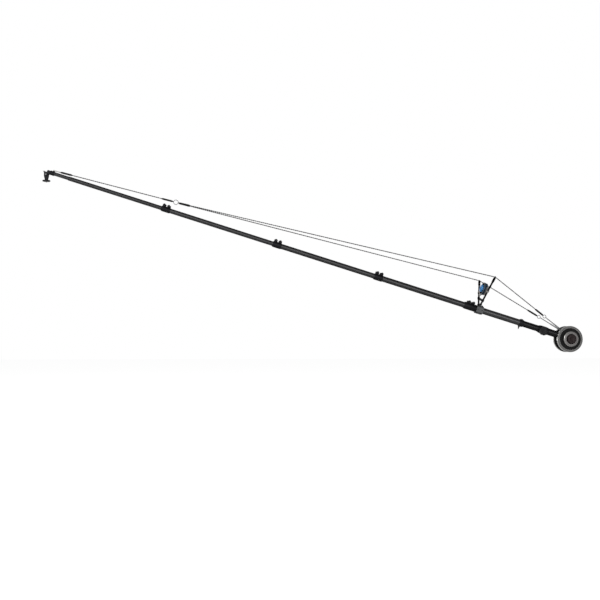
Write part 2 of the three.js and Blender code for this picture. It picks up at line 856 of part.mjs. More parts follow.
const ringSleeveStart = ringOuter + seatGap;
const tipSleeveEnd = stayLength + lugRadius - linkLength - seatGap;
place('tip_link', tipLink(), steelWire);
place('front_sleeve_tip', staySleeve(alongStay(tipSleeveEnd - sleeveLength), stayDirection), sleeveBlack);
place('front_sleeve_ring', staySleeve(alongStay(ringSleeveStart), stayDirection), sleeveBlack);
place('front_wire', rodBetween(
  alongStay(ringSleeveStart + sleeveLength + seatGap),
  alongStay(tipSleeveEnd - sleeveLength - seatGap),
  wireRadius,
  wireSides,
), steelWire);
place('splitter_ring', ringAcross(ringCentre, splitterRadius, ringWireRadius), steelWire);

// Side stays from the splitter ring to the post tops

for (const [name, side] of [['near', -1], ['far', 1]]) {
  const start = ringCentre.clone().add(new THREE.Vector3(ringOuter + seatGap, side * sideStayOut, 0));
  const direction = postTop(side).sub(start).normalize();
  const reach = postTop(side).sub(start).length();
  place(`side_sleeve_${name}`, staySleeve(start, direction), sleeveBlack);
  place(`side_wire_${name}`, rodBetween(
    start.clone().addScaledVector(direction, sleeveLength + seatGap),
    start.clone().addScaledVector(direction, reach - postBallRadius - seatGap),
    wireRadius,
    wireSides,
  ), steelWire);
}

// Rear stays: wire, shackled sleeve and a bridle through the anchor eye

const anchorCentre = at(anchorReach, 0, anchorHeight);
const anchorSlack = anchorHoleRadius - wireRadius - seatGap;
const anchorPull = at(postReach, 0, postTopHeight).sub(anchorCentre).setLength(anchorSlack);
const anchorEye = anchorCentre.clone().add(anchorPull);
const rearDirection = (side) => anchorEye.clone().sub(postTop(side)).normalize();
const rearLength = anchorEye.clone().sub(postTop(1)).length();
const alongRear = (side, distance) => postTop(side).addScaledVector(rearDirection(side), distance);
const rearSleeveStart = rearLength * rearSleeveStartShare;
const rearRingMiddle = rearSleeveStart + sleeveLength + shackleRadius;

for (const [name, side] of [['near', -1], ['far', 1]]) {
  place(`rear_wire_${name}`, rodBetween(
    alongRear(side, postBallRadius + seatGap),
    alongRear(side, rearSleeveStart - seatGap),
    wireRadius,
    wireSides,
  ), steelWire);
  const ring = ringAcross(alongRear(side, rearRingMiddle), shackleRadius, ringWireRadius);
  place(`rear_shackle_${name}`, joined(
    staySleeve(alongRear(side, rearSleeveStart), rearDirection(side)),
    ring,
  ), sleeveBlack);
}

function bridle() {
  const start = rearRingMiddle + shackleOuter + seatGap;
  const edge = anchorHalfThickness + seatGap + wireRadius;
  const corners = [-1, 1].map((side) => anchorEye.clone().add(new THREE.Vector3(0, side * edge, 0)));
  const legs = [-1, 1].map((side, k) => {
    return rodBetween(alongRear(side, start), corners[k], wireRadius, wireSides);
  });
  const crossing = rodBetween(corners[0], corners[1], wireRadius, wireSides);
  return joined(...legs, crossing, ...corners.map((corner) => ball(wireRadius, corner, wireSides)));
}
place('rear_bridle', bridle(), steelWire);

// Tail sleeve on the base tube, its clamp and the stay anchor

const tailBore = radiusOf.base + slideClearance;
const tailRadius = tailBore + tailSleeveWall;

function tailSleeve() {
  const end = tailSleeveRear;
  const inner = end - tailEndWall;
  const body = turnedAlongX([
    [tailBore, -tailClampReach + seatGap], [tailRadius, -tailClampReach + seatGap],
    [tailRadius, end - thumbRound], [tailRadius - thumbRound, end], [0, end],
    [0, inner], [tailBore, inner], [tailBore, -tailClampReach + seatGap],
  ], tubeSides);
  const barHole = rodAlongY(weightBarRadius + seatGap, -2 * tailRadius, 2 * tailRadius, tubeSides)
    .translate(-weightReach, 0, -weightDrop);
  return cut(body, barHole);
}

function stayAnchor() {
  const thick = anchorHalfThickness;
  const foot = tailRadius + seatGap;
  const eye = rodAlongY(anchorRadius, -thick, thick, thumbSides).translate(0, 0, anchorHeight);
  const web = box(-anchorRadius, anchorRadius, -thick, thick, 0, anchorHeight);
  const saddle = box(-2 * anchorRadius, 2 * anchorRadius, -anchorRadius, anchorRadius, 0, foot + thick);
  const hole = rodAlongY(anchorHoleRadius, -thick - cutOverrun, thick + cutOverrun, thumbSides)
    .translate(0, 0, anchorHeight);
  const sleeveRoom = rodAlongX(foot, -3 * anchorRadius, 3 * anchorRadius, tubeSides);
  return cut(joined(eye, web, saddle), hole, sleeveRoom);
}

function tailClamp() {
  const half = tailClampLength / 2;
  const wide = tailRadius + seatGap + tailClampWall;
  const bevel = tailClampBevel;
  const body = turnedAlongX([
    [tailBore, -half], [tailBore + tailClampWall / 2, -half], [wide, bevel - half], [wide, half - bevel],
    [tailRadius + tailClampWall / 2, half], [tailRadius + seatGap, half], [tailRadius + seatGap, 0],
    [tailBore, 0], [tailBore, -half],
  ], tubeSides);
  const boss = box(
    -tailBossHalfLength,
    tailBossHalfLength,
    -wide - tailBossRise,
    -tailRadius,
    -tailScrewDrop - tailBossHalfHeight,
    -tailScrewDrop + tailBossHalfHeight,
  );
  const front = rodAlongX(tailBore, -half - cutOverrun, 0, tubeSides);
  const rear = rodAlongX(tailRadius + seatGap, -seatGap, half + cutOverrun, tubeSides);
  const hole = rodAlongY(screwRadius + seatGap, -wide - 2 * tailBossRise, 0, postSides)
    .translate(-tailKnobForward, 0, -tailScrewDrop);
  return cut(joined(body, boss), front, rear, hole);
}

function tailKnob() {
  const face = -(tailRadius + seatGap + tailClampWall + tailBossRise) - seatGap;
  const grip = lobedKnob(tailKnobRadius, tailKnobLength, tailKnobLobes, tailKnobLobeDepth)
    .rotateX(Math.PI / 2)
    .translate(0, face, 0);
  const contact = -Math.sqrt((radiusOf.base + seatGap) ** 2 - (tailScrewDrop - screwRadius) ** 2);
  return joined(grip, rodAlongY(screwRadius, face - tailKnobLength / 2, contact, postSides));
}

place('tail_sleeve', tailSleeve(), carbonBlack);
place('stay_anchor', stayAnchor(), anodisedBlack, axis, [-anchorReach, 0, 0]);
place('tail_clamp', tailClamp(), anodisedBlack, axis, [-tailClampReach, 0, 0]);
place('tail_knob', tailKnob(), knobBlack, axis, [-tailClampReach - tailKnobForward, 0, -tailScrewDrop]);

// Counterweights: bar through the sleeve, two discs and a lobed nut on each side

const discInner = tailRadius + discSpacer;
const discOuter = discInner + discThickness;
const smallInner = discOuter + seatGap;
const smallOuter = smallInner + smallDiscThickness;
const nutInner = smallOuter + seatGap;
const nutOuter = nutInner + nutLength;

function disc(radius, inner, outer, rim, recess) {
  const bore = weightBarRadius + seatGap;
  const hub = bore + rim / 2;
  const waist = radius - rim;
  return turned([
    [bore, inner], [radius - discEdge, inner], [radius, inner + discEdge], [radius, outer - discEdge],
    [radius - discEdge, outer], [waist, outer], [waist - discEdge, outer - recess],
    [hub + discEdge, outer - recess], [hub, outer], [bore, outer], [bore, inner],
  ], discSides);
}

function lobedNut() {
  const grip = lobedKnob(nutRadius, nutLength, nutLobes, nutLobeDepth)
    .rotateX(-Math.PI / 2)
    .translate(0, nutInner, 0);
  const hub = turned([
    [0, nutOuter - discEdge], [nutHubRadius, nutOuter - discEdge],
    [nutHubRadius, nutOuter + nutHubRise - thumbRound], [nutHubRadius - thumbRound, nutOuter + nutHubRise],
    [0, nutOuter + nutHubRise],
  ], tubeSides);
  const thread = rodAlongY(weightBarRadius + seatGap, 0, nutInner + nutLength / 2, thumbSides);
  return cut(joined(grip, hub), thread);
}

const barEnd = nutInner + nutLength / 2 - seatGap;
const weightPlace = [-weightReach, 0, -weightDrop];
place('weight_bar', rodAlongY(weightBarRadius, -barEnd, barEnd, tubeSides), greyAluminium, axis, weightPlace);
for (const [name, side] of [['near', -1], ['far', 1]]) {
  const facing = (geometry) => (side < 0 ? geometry.rotateZ(Math.PI) : geometry);
  const large = facing(disc(discRadius, discInner, discOuter, discRim, discRecess));
  const small = facing(disc(smallDiscRadius, smallInner, smallOuter, smallDiscRim, smallDiscRecess));
  place(`disc_large_${name}`, large, castIron, axis, weightPlace);
  place(`disc_small_${name}`, small, castIron, axis, weightPlace);
  place(`weight_nut_${name}`, facing(lobedNut()), knobBlack, axis, weightPlace);
}

// Accessory collar with a small swinging lever below

const collarBore = radiusOf.base + seatGap;
const collarWide = collarBore + collarWall;
const leverPivotDrop = collarWide + tabRadius + 2 * seatGap;

function accessoryCollar() {
  const half = collarLength / 2;
  const [bore, wide] = [collarBore, collarWide];
  const body = turnedAlongX([
    [bore, -half], [wide - thumbRound, -half], [wide, thumbRound - half], [wide, half - thumbRound],
    [wide - thumbRound, half], [bore, half], [bore, -half],
  ], tubeSides);
  const ear = box(
    -collarEarHalfWidth,
    collarEarHalfWidth,
    -collarEarHalfWidth,
    collarEarHalfWidth,
    bore,
    wide + collarEarRise,
  );
  const cleat = joined(
    box(-cleatRadius, cleatRadius, -cleatHalfWidth, cleatHalfWidth, -leverPivotDrop, -bore),
    rodAlongY(cleatRadius, -cleatHalfWidth, cleatHalfWidth, postSides).translate(0, 0, -leverPivotDrop),
  ).translate(-half / 2, 0, 0);
  const slotSide = tabHalfWidth + seatGap;
  const slot = box(-half, half, -slotSide, slotSide, -leverPivotDrop - cleatDrop, -wide);
  const pinEnd = cleatHalfWidth + cutOverrun;
  const pinHole = rodAlongY(tabPinRadius + seatGap, -pinEnd, pinEnd, postSides)
    .translate(-half / 2, 0, -leverPivotDrop);
  const tubeRoom = rodAlongX(bore, -half - cutOverrun, half + cutOverrun, tubeSides);
  return cut(joined(body, ear, cleat), slot, pinHole, tubeRoom);
}

function collarTab() {
  const eye = rodAlongY(tabRadius, -tabHalfWidth, tabHalfWidth, postSides);
  const blade = prismAlongY([
    [-tabRadius, 0], [-tabRadius / 2, -tabLength], [tabRadius / 2, -tabLength], [tabRadius, 0],
  ], -tabHalfWidth, tabHalfWidth);
  const pin = rodAlongY(tabPinRadius, -cleatHalfWidth, cleatHalfWidth, postSides);
  return joined(eye, blade, pin);
}

place('accessory_collar', accessoryCollar(), anodisedBlack, axis, [-collarReach, 0, 0]);
place('collar_lever', collarTab(), knobBlack, axis, [-collarReach - collarLength / 4, 0, -leverPivotDrop]);

export default crane;
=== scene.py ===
"""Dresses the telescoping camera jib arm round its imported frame."""

import json
import math

import bmesh
import bpy
from bpy.props import FloatProperty, FloatVectorProperty, PointerProperty
from mathutils import Matrix, Vector


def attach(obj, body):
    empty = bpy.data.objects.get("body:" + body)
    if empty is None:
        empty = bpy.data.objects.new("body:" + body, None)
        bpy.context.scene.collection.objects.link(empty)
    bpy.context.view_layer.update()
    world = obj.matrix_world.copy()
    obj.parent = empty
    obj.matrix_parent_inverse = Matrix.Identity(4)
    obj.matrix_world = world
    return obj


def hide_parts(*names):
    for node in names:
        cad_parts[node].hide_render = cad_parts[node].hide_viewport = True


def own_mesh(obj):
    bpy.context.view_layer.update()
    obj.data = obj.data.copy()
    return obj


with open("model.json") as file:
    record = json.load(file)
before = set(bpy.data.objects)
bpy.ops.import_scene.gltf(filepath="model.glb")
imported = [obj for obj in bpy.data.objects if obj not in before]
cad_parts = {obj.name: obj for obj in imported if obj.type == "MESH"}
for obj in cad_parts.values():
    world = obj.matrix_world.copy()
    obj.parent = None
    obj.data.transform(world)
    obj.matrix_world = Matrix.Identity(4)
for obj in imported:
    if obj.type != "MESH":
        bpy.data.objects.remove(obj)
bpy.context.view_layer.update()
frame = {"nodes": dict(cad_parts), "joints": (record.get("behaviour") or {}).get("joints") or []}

bl_info = {
    "name": "Camera jib arm",
    "version": (1, 0, 0),
    "blender": (4, 5, 0),
    "location": "View3D > Sidebar > Jib arm",
    "description": "Builds the visible pieces and finishes of a telescoping camera jib arm",
    "category": "Object",
}

# Sizes in metres; a reach is counted along the tubes, towards the tip, and a drop is below their axis
TENTH = 0.0001
SEAT = 0.0003
SHANK_RADIUS = 0.003

# Tubes and clamps
BASE_FRONT = 0.090
BASE_REAR = -0.740
EXPOSED = {"section_4": 0.871, "section_3": 0.947, "section_2": 1.019, "section_1": 0.871}
INSERT = 0.100
GLIDE_BAND = 0.030
TIP_TUBE_FRONT = 3.953
TIP_TUBE_REAR = 3.748
CLAMP_WALL = 0.0045
EAR_PITCH = 0.040
EAR_FACE = 0.018
THUMB_RISE = 0.008

# Fulcrum and posts
BLOCK_TOP = 0.034
BLOCK_SIDE = 0.035
COLLAR_REACH = -0.404
BOLT_REACH = 0.020
BOLT_DROP = 0.004
POST_REACH = 0.008
POST_FOOT = (0.026, 0.038)
POST_TOP = (0.224, 0.288)
BALL_RADIUS = 0.007
BALL_NECK_SHARE = 0.19
BALL_STEPS = 12

# Tensioner
TENSION_HEIGHT = 0.192
TENSION_SEAT = 0.0033
DRUM_BORE = 0.0063
CUP_FLOOR = 0.0073
CUP_INNER = 0.050
CUP_OUTER = 0.057
CUP_END = 0.0203
CUP_RIM = 0.005
KNOB_FACE = 0.0083
KNOB_RADIUS = 0.034

# Tip
PIVOT_REACH = 3.9873
PIVOT_DROP = 0.028
PLATFORM_LOW = 0.058
CHEEK_FACE = 0.0093
CHEEK_THICKNESS = 0.005
LEVER_HUB_LENGTH = 0.011

# Stays
LUG_REACH = 3.9373
LUG_HEIGHT = 0.0255
LUG_RADIUS = 0.006
LINK_LENGTH = 0.060
RING_REACH = 2.863
RING_HEIGHT = 0.088
RING_WIRE = 0.0025
SPLITTER_RADIUS = 0.020
SHACKLE_RADIUS = 0.014
SIDE_STAY_OUT = 0.0069
SLEEVE_LENGTH = 0.107
SLEEVE_RADIUS = 0.0082
REAR_SLEEVE_SHARE = 0.57
ANCHOR_REACH = -0.816
ANCHOR_HEIGHT = 0.039
ANCHOR_HOLE = 0.0045
ANCHOR_HALF = 0.003
BRIDLE_CLIPS = {"low": (0.42, 0.040, 0.0062), "high": (0.93, 0.010, 0.0045)}

# Tail and counterweights
TAIL_CLAMP_REACH = -0.617
TAIL_END = -0.905
TAIL_RADIUS = 0.0305
TAIL_WALL = 0.002
TAIL_SCREW_DROP = 0.016
WEIGHT_REACH = -0.865
WEIGHT_DROP = 0.009
BAR_IN_NUT = 0.011
DISC_BORE = 0.0128
DISC_INNER = 0.0315
GROOVE_ROWS = ((0.30, 0), (0.34, 0.0006), (0.38, 0))

# Shares of a radius that waves take away
KNURL_SHARE = 0.05
HEX_SHARE = 0.12

# Outline of a lobed grip: shares of the radius, of the depth and of the lobes
GRIP_ROWS = (
    (0.55, 0, 0.1), (0.88, 0.02, 0.7), (0.97, 0.10, 1), (1.0, 0.25, 1), (1.0, 0.55, 1), (0.985, 0.75, 1),
    (0.94, 0.88, 0.9), (0.84, 0.97, 0.6), (0.62, 1.0, 0.2), (0.46, 0.97, 0), (0.40, 0.90, 0),
    (0.30, 0.90, 0),
)
# Outline of the blue knob: the same, but the depth is in tenths of a millimetre
KNOB_ROWS = (
    (0.62, 0, 0.2), (0.90, 6, 0.8), (0.985, 22, 1), (1, 50, 1), (1, 130, 1), (0.99, 210, 1),
    (0.95, 245, 0.9), (0.86, 264, 0.6), (0.60, 270, 0.2), (0.42, 262, 0), (0.36, 240, 0),
)
# Outline of the tip lever's arm: radius in tenths of a millimetre, share of the length
LEVER_ROWS = (
    (0, 0.20), (48, 0.20), (42, 0.38), (38, 0.58), (42, 0.76), (52, 0.90), (55, 1.0), (47, 1.09),
    (27, 1.15), (0, 1.17),
)
# Outline of half a sleeve: share of the radius, place in tenths of a millimetre
SLEEVE_ROWS = (
    (0, 15), (0.455, 15), (0.455, 0), (0.50, 0), (0.55, 10), (0.74, 70), (0.93, 130), (1.0, 180),
    (1.0, 195), (0.92, 202), (0.92, 214), (1.0, 221), (0.985, 300),
)

# Finishes and studio
DARK_EDGE = (0.1, 0.1, 0.1, 1.0)
WHITE = (1, 1, 1, 1)
FLOOR_WHITE_SHARE = 0.85
SOFT_LIGHT = 0.18
FOCAL_PIXELS = 828
PICTURE_PIXELS = 600


def length_property(name, description, default):
    return FloatProperty(name=name, description=description, default=default, unit="LENGTH")


def colour_property(name, description, default):
    return FloatVectorProperty(
        name=name, description=description, default=default, subtype="COLOR", size=3, min=0, max=1
    )


class CraneSizes(bpy.types.PropertyGroup):
    """Sizes of the arm that its pieces are built from."""

    arm_angle: FloatProperty(
        name="Arm angle",
        description="How far the tip is raised",
        default=math.radians(17.2),
        subtype="ANGLE",
    )
    axis_height: length_property("Axis height", "Tube axis above the mount plate", 0.037)
    base_radius: length_property("Base tube radius", "Outer radius of the largest tube", 0.028)
    tube_step: length_property("Tube step", "Radius lost from one tube to the next", 0.0025)
    tube_wall: length_property("Tube wall", "Wall thickness of the tubes", 0.002)
    wire_radius: length_property("Wire radius", "Radius of the stay wires", 0.0025)
    disc_radius: length_property("Disc radius", "Radius of the large discs", 0.118)
    camera_distance: length_property("Camera distance", "Camera's distance in front of the arm", 7.263)


class CraneColours(bpy.types.PropertyGroup):
    """Base colours of the arm's finishes."""

    carbon: colour_property("Carbon", "Wound tubes", (0.022, 0.022, 0.0225))
    anodised: colour_property("Black anodised", "Clamps, posts and caps", (0.009, 0.009, 0.010))
    aluminium: colour_property("Grey aluminium", "Tip tube, cup rim, axle and bar", (0.050, 0.051, 0.053))
    # The drum's dark blue is painted shade: a darker copy of the knob's blue for the knob's shaded side
    drum: colour_property("Dark blue anodised", "Drum of the tensioner", (0.014, 0.036, 0.064))
    blue: colour_property("Blue anodised", "Tensioner knob", (0.040, 0.155, 0.34))
    steel: colour_property("Steel", "Screws, ferrules, rings and bridle", (0.30, 0.305, 0.31))
    wire: colour_property("Wire", "Stay wires", (0.075, 0.076, 0.078))
    # Black rubber also colours the dark sheet inside the tensioner's cup, which is painted shade
    rubber: colour_property("Black rubber", "Stay sleeves and cup lining", (0.009, 0.009, 0.009))
    iron: colour_property("Painted iron", "Faces of the large discs", (0.038, 0.037, 0.035))
    warm_iron: colour_property("Warm painted iron", "Faces of the small discs", (0.070, 0.064, 0.062))
    # The disc edge colour is a lighter metal copy of the iron: painted light for the bright crescents on
    # the rims
    edge: colour_property("Disc edge", "Turned rims of the discs", (0.20, 0.20, 0.19))
    block: colour_property("Block aluminium", "Sides of the fulcrum block", (0.034, 0.035, 0.036))
    plate: colour_property("Plate", "Tensioner plate and tip link", (0.13, 0.125, 0.12))
    # Disc recess colour: near black, painted shade on the discs' sunken faces and inward faces
    recess: colour_property("Disc recess", "Sunken and inner faces of the discs", (0.006, 0.006, 0.006))
    plastic: colour_property("Knob plastic", "Screw heads, levers and tail knob", (0.0070, 0.0070, 0.0078))
    nut: colour_property("Nut plastic", "Lobed nuts of the counterweights", (0.013, 0.009, 0.009))
    floor: colour_property("Floor", "Studio floor", (0.70, 0.70, 0.70))


def sizes():
    return bpy.context.scene.crane_sizes


def colours():
    return bpy.context.scene.crane_colours


def rgba(colour, share=1.0):
    return (*(channel * share for channel in colour), 1.0)


# Shader maths


class Signal:
    """A shader socket; arithmetic on it adds Math nodes."""

    def __init__(self, finish, socket):
        self.finish = finish
        self.socket = socket

    def math(self, operation, other, flipped=False):
        pair = (other, self) if flipped else (self, other)
        return self.finish.add("ShaderNodeMath", {"operation": operation}, dict(enumerate(pair)))

    def __add__(self, other):
        return self.math("ADD", other)

    def __sub__(self, other):
        return self.math("SUBTRACT", other)

    def __rsub__(self, other):
        return self.math("SUBTRACT", other, flipped=True)

    def __mul__(self, other):
        return self.math("MULTIPLY", other)

    __radd__ = __add__
    __rmul__ = __mul__

    def between(self, low, high):
        """0 below low, 1 above high and a smooth rise from one to the other."""
        settings = {"interpolation_type": "SMOOTHSTEP"}
        return self.finish.add("ShaderNodeMapRange", settings, {0: self, 1: low, 2: high})


class Finish:
    """The nodes of a material or of the world."""

    def __init__(self, owner):
        self.owner = owner
        owner.use_nodes = True
        self.tree = owner.node_tree
        self.tree.nodes.clear()

    def add(self, kind, settings, values, output=0):
        node = self.tree.nodes.new(kind)
        for key, value in settings.items():
            setattr(node, key, value)
        for key, value in values.items():
            socket = node.inputs[key]
            if isinstance(value, Signal):
                self.tree.links.new(value.socket, socket)
            else:
                socket.default_value = value
        return Signal(self, node.outputs[output]) if node.outputs else None

    def place(self, stretch=(1, 1, 1)):
        """The piece's own coordinates, each multiplied by its share of stretch."""
        own = self.add("ShaderNodeTexCoord", {}, {}, "Object")
        return self.add("ShaderNodeVectorMath", {"operation": "MULTIPLY"}, {0: own, 1: stretch})

    def split(self, vector):
        first = self.add("ShaderNodeSeparateXYZ", {}, {0: vector})
        return [Signal(self, socket) for socket in first.socket.node.outputs]

    def noise(self, scale, detail=3.0, roughness=0.55, stretch=(1, 1, 1)):
        values = {"Vector": self.place(stretch), "Scale": scale, "Detail": detail, "Roughness": roughness}
        return self.add("ShaderNodeTexNoise", {}, values)

    def mix(self, factor, low, high):
        return self.add("ShaderNodeMix", {"data_type": "RGBA"}, {0: factor, 6: low, 7: high}, 2)

    def tinted(self, factor, base, dark, light):
        """From the dark to the light share of a base colour."""
        return self.mix(factor, rgba(base, dark), rgba(base, light))

    def bump(self, height, tenths, strength):
        values = {"Height": height, "Distance": tenths * TENTH, "Strength": strength}
        return self.add("ShaderNodeBump", {}, values)

    def seen(self):
        """1 on rays from the camera, off a gloss or through glass, and 0 on all others."""
        path = self.add("ShaderNodeLightPath", {}, {}).socket.node
        rays = ("Is Camera Ray", "Is Glossy Ray", "Is Transmission Ray")
        camera, glossy, through = (Signal(self, path.outputs[ray]) for ray in rays)
        return camera.math("MAXIMUM", glossy).math("MAXIMUM", through)

    def output(self, shader, kind="ShaderNodeOutputMaterial"):
        self.add(kind, {}, {"Surface": shader})
        return self.owner

    def principled(self, **values):
        named = {key.replace("_", " "): value for key, value in values.items()}
        return self.output(self.add("ShaderNodeBsdfPrincipled", {}, named))


def carbon(made, base):
    """A wound tube: a fine twill under resin, dark at its edges."""
    tows, per_metre = 48, 400.0
    x, y, z = made.split(made.place())
    around = z.math("ARCTAN2", y) * (tows / math.tau)
    along = x * per_metre
    twill = (around + along).math("PINGPONG", 1.0)
    crossing = (around - along).math("PINGPONG", 1.0)
    cloud = made.noise(4.0, stretch=(3, 30, 30))
    shade = (twill * 0.45 + crossing * 0.2 + cloud * 0.35).between(0.2, 0.8)
    return made.principled(
        Base_Color=made.tinted(shade, base, dark=0.6, light=1.5),
        Metallic=1.0,
        Roughness=0.27 + cloud * 0.06,
        Specular_IOR_Level=0.10,
        Specular_Tint=DARK_EDGE,
        Normal=made.bump(twill + crossing * 0.5, tenths=0.4, strength=0.4),
    )


def anodised(made, base, metallic=0.7, roughness=0.42, gloss=0.12):
    """Dyed aluminium with a fine grain, rubbed lighter in places."""
    grain = made.noise(900.0, detail=4.0)
    cloud = made.noise(25.0)
    worn = made.noise(140.0, detail=6.0, roughness=0.7).between(0.62, 0.75)
    return made.principled(
        Base_Color=made.tinted(worn * 0.35 + cloud * 0.3, base, dark=0.8, light=1.9),
        Metallic=metallic + worn * 0.1,
        Roughness=roughness - 0.08 + cloud * 0.16,
        Specular_IOR_Level=gloss,
        Specular_Tint=DARK_EDGE,
        Normal=made.bump(grain, tenths=0.3, strength=0.35),
    )


def machined(made, base, roughness=0.34):
    """Bare metal with fine tool marks and a few scratches."""
    brushed = made.noise(1.0, detail=5.0, roughness=0.7, stretch=(40, 900, 900))
    cloud = made.noise(18.0)
    scratch = made.noise(1.0, detail=2.0, stretch=(15, 2400, 2400)).between(0.66, 0.72)
    return made.principled(
        Base_Color=made.tinted(cloud * 0.5 + brushed * 0.5, base, dark=0.75, light=1.35),
        Metallic=0.85 - scratch * 0.1,
        Roughness=roughness + brushed * 0.16,
        Normal=made.bump(brushed - scratch * 0.5, tenths=0.5, strength=0.3),
    )


def stranded(made, base):
    """Steel yarns that wind round the piece's own axis."""
    x, y, z = made.split(made.place())
    yarns, lay, fine_lay = 6, 90.0, 420.0
    turn = z.math("ARCTAN2", y) * (yarns / math.tau)
    yarn = (turn + x * lay).math("PINGPONG", 0.5) * 2.0
    fine = (turn * 3.0 - x * fine_lay).math("PINGPONG", 0.5) * 2.0
    return made.principled(
        Base_Color=made.tinted(yarn * 0.8 + fine * 0.2, base, dark=0.45, light=1.0),
        Metallic=0.9,
        Roughness=0.42 - yarn * 0.14,
        Normal=made.bump(yarn + fine * 0.25, tenths=3, strength=0.7),
    )


def polished(made, base):
    """Smooth steel with faint wiping marks."""
    cloud = made.noise(60.0)
    fine = made.noise(1.0, stretch=(30, 700, 700))
    return made.principled(
        Base_Color=made.tinted(cloud, base, dark=0.8, light=1.05),
        Metallic=0.95 - cloud * 0.05,
        Roughness=0.28 + fine * 0.2,
        Normal=made.bump(fine, tenths=0.3, strength=0.3),
    )


def moulded(made, base, roughness, gloss):
    """Rubber or plastic with a leathery grain, polished where it is handled."""
    leather = made.add("ShaderNodeTexVoronoi", {}, {"Vector": made.place(), "Scale": 1300.0})
    cloud = made.noise(35.0)
    rubbed = made.noise(160.0, detail=5.0, roughness=0.65).between(0.6, 0.75)
    return made.principled(
        Base_Color=made.tinted(cloud * 0.6 + rubbed * 0.3, base, dark=0.8, light=1.8),
        Roughness=roughness + cloud * 0.12 - rubbed * 0.12,
        Specular_IOR_Level=gloss,
        Normal=made.bump(leather, tenths=0.6, strength=0.35),
    )


def disc_paint(made, base):
    """Painted iron, scuffed in places."""
    cast = made.noise(420.0, detail=5.0, roughness=0.6)
    cloud = made.noise(14.0)
    worn = made.noise(90.0, detail=6.0, roughness=0.7).between(0.62, 0.75)
    painted = made.tinted(cloud, base, dark=0.72, light=1.25)
    return made.principled(
        Base_Color=made.mix(worn * 0.5, painted, rgba(base, 3.0)),
        Metallic=worn * 0.4,
        Roughness=0.26 + cast * 0.18,
        Specular_IOR_Level=0.40,
        Normal=made.bump(cast, tenths=2, strength=0.35),
    )


def studio_floor():
    """A pale floor that is nearly white to the camera and keeps the shadow."""
    made = Finish(bpy.data.materials.new("studio floor"))
    matt = made.add("ShaderNodeBsdfDiffuse", {}, {"Color": rgba(colours().floor)})
    glow = made.add("ShaderNodeEmission", {}, {"Color": WHITE, "Strength": 1.0})
    lit = made.add("ShaderNodeAddShader", {}, {0: matt, 1: glow})
    factor = made.seen() * FLOOR_WHITE_SHARE
    return made.output(made.add("ShaderNodeMixShader", {}, {0: factor, 1: matt, 2: lit}))


def look(maker, title, colour, share=1.0, **settings):
    """How a finish is made: by whom, the material's name, a share of a colour and settings."""

    def make():
        base = [channel * share for channel in getattr(colours(), colour)]
        return maker(Finish(bpy.data.materials.new(title)), base, **settings)

    return make


LOOKS = {
    "carbon": look(carbon, "carbon tube", "carbon"),
    # The base tube's carbon is a lighter copy of the carbon: painted light that brightens its highlight
    # streak
    "base_carbon": look(carbon, "base tube carbon", "carbon", 1.35),
    "dark_carbon": look(carbon, "dark carbon", "carbon", 0.45),
    "black": look(anodised, "black anodised", "anodised"),
    "post": look(anodised, "post anodised", "anodised", 0.35),
    "blue": look(anodised, "blue anodised", "blue", metallic=0.4, roughness=0.32, gloss=0.4),
    # A darker copy of the blue anodised: painted shade on the drum behind the knob
    "drum": look(anodised, "dark blue anodised", "drum", metallic=0.5, roughness=0.36, gloss=0.3),
    "grey": look(machined, "grey aluminium", "aluminium"),
    "tip_grey": look(machined, "dark tip tube", "aluminium", 0.35),
    # Lighter metal on the disc rims: painted light for their bright crescents
    "edge": look(machined, "turned disc edge", "edge", roughness=0.22),
    "block": look(machined, "block aluminium", "block", roughness=0.42),
    "plate": look(machined, "grey plate", "plate"),
    "wire": look(stranded, "stranded steel", "wire"),
    "bridle": look(stranded, "bridle steel", "steel", 0.7),
    "ring": look(polished, "ring steel", "steel", 0.25),
    "steel": look(polished, "grey steel", "steel", 0.5),
    "rubber": look(moulded, "black rubber", "rubber", roughness=0.6, gloss=0.05),
    # Near-black finish for the discs' sunken faces and inward faces: painted shade
    "web": look(moulded, "disc web paint", "recess", roughness=0.55, gloss=0.05),
    "plastic": look(moulded, "knob plastic", "plastic", roughness=0.42, gloss=0.08),
    "nut": look(moulded, "nut plastic", "nut", roughness=0.34, gloss=0.06),
    "disc": look(disc_paint, "disc paint", "iron"),
    "small_disc": look(disc_paint, "small disc paint", "warm_iron"),
}
made_finishes = {}


def finish_of(name):
    """The named finish, made when it is first asked for."""
    if name not in made_finishes:
        made_finishes[name] = LOOKS[name]()
    return made_finishes[name]


# Meshes


def corner(radius, along, *steps):
    """Points by a corner: steps out and on in tenths of a millimetre, and the wave's share if any."""
    return [(radius + out * TENTH, along + on * TENTH, *share) for out, on, *share in steps]


def mirrored(outline):
    """An outline and its mirror image in the plane where along is zero."""
    return [*outline, *((radius, -along) for radius, along in reversed(outline))]


def waves(count, depth, power=1):
    """A wave that draws a round outline in between its crests."""
    return lambda angle: depth * ((1 - math.cos(count * angle)) / 2) ** power


def round_angles(steps):
    return [math.tau * step / steps for step in range(steps)]


def skinned(mesh, rows, closed):
    """The mesh with faces between its rows of vertices; a row may be a single point."""
    steps = max(map(len, rows))
    for a, b in zip(rows, rows[1:] + rows[:1] if closed else rows[1:]):
        for step in range(steps):
            after = (step + 1) % steps
            corners = [a[step % len(a)], a[after % len(a)], b[after % len(b)], b[step % len(b)]]
            unique = list(dict.fromkeys(corners))
            if len(unique) > 2:
                mesh.faces.new(unique)
    return mesh


def turned(outline, steps, wave=None, closed=False):
    """A body turned about X from (radius, along) pairs; a third number is the wave's share there."""
    mesh = bmesh.new()
    rows = []
    for radius, along, *share in outline:
        if radius == 0:
            rows.append([mesh.verts.new((along, 0, 0))])
            continue
        row = []
        for angle in round_angles(steps):
            reach = radius * (1 - share[0] * wave(angle)) if share else radius
            row.append(mesh.verts.new((along, reach * math.cos(angle), reach * math.sin(angle))))
        rows.append(row)
    return skinned(mesh, rows, closed)


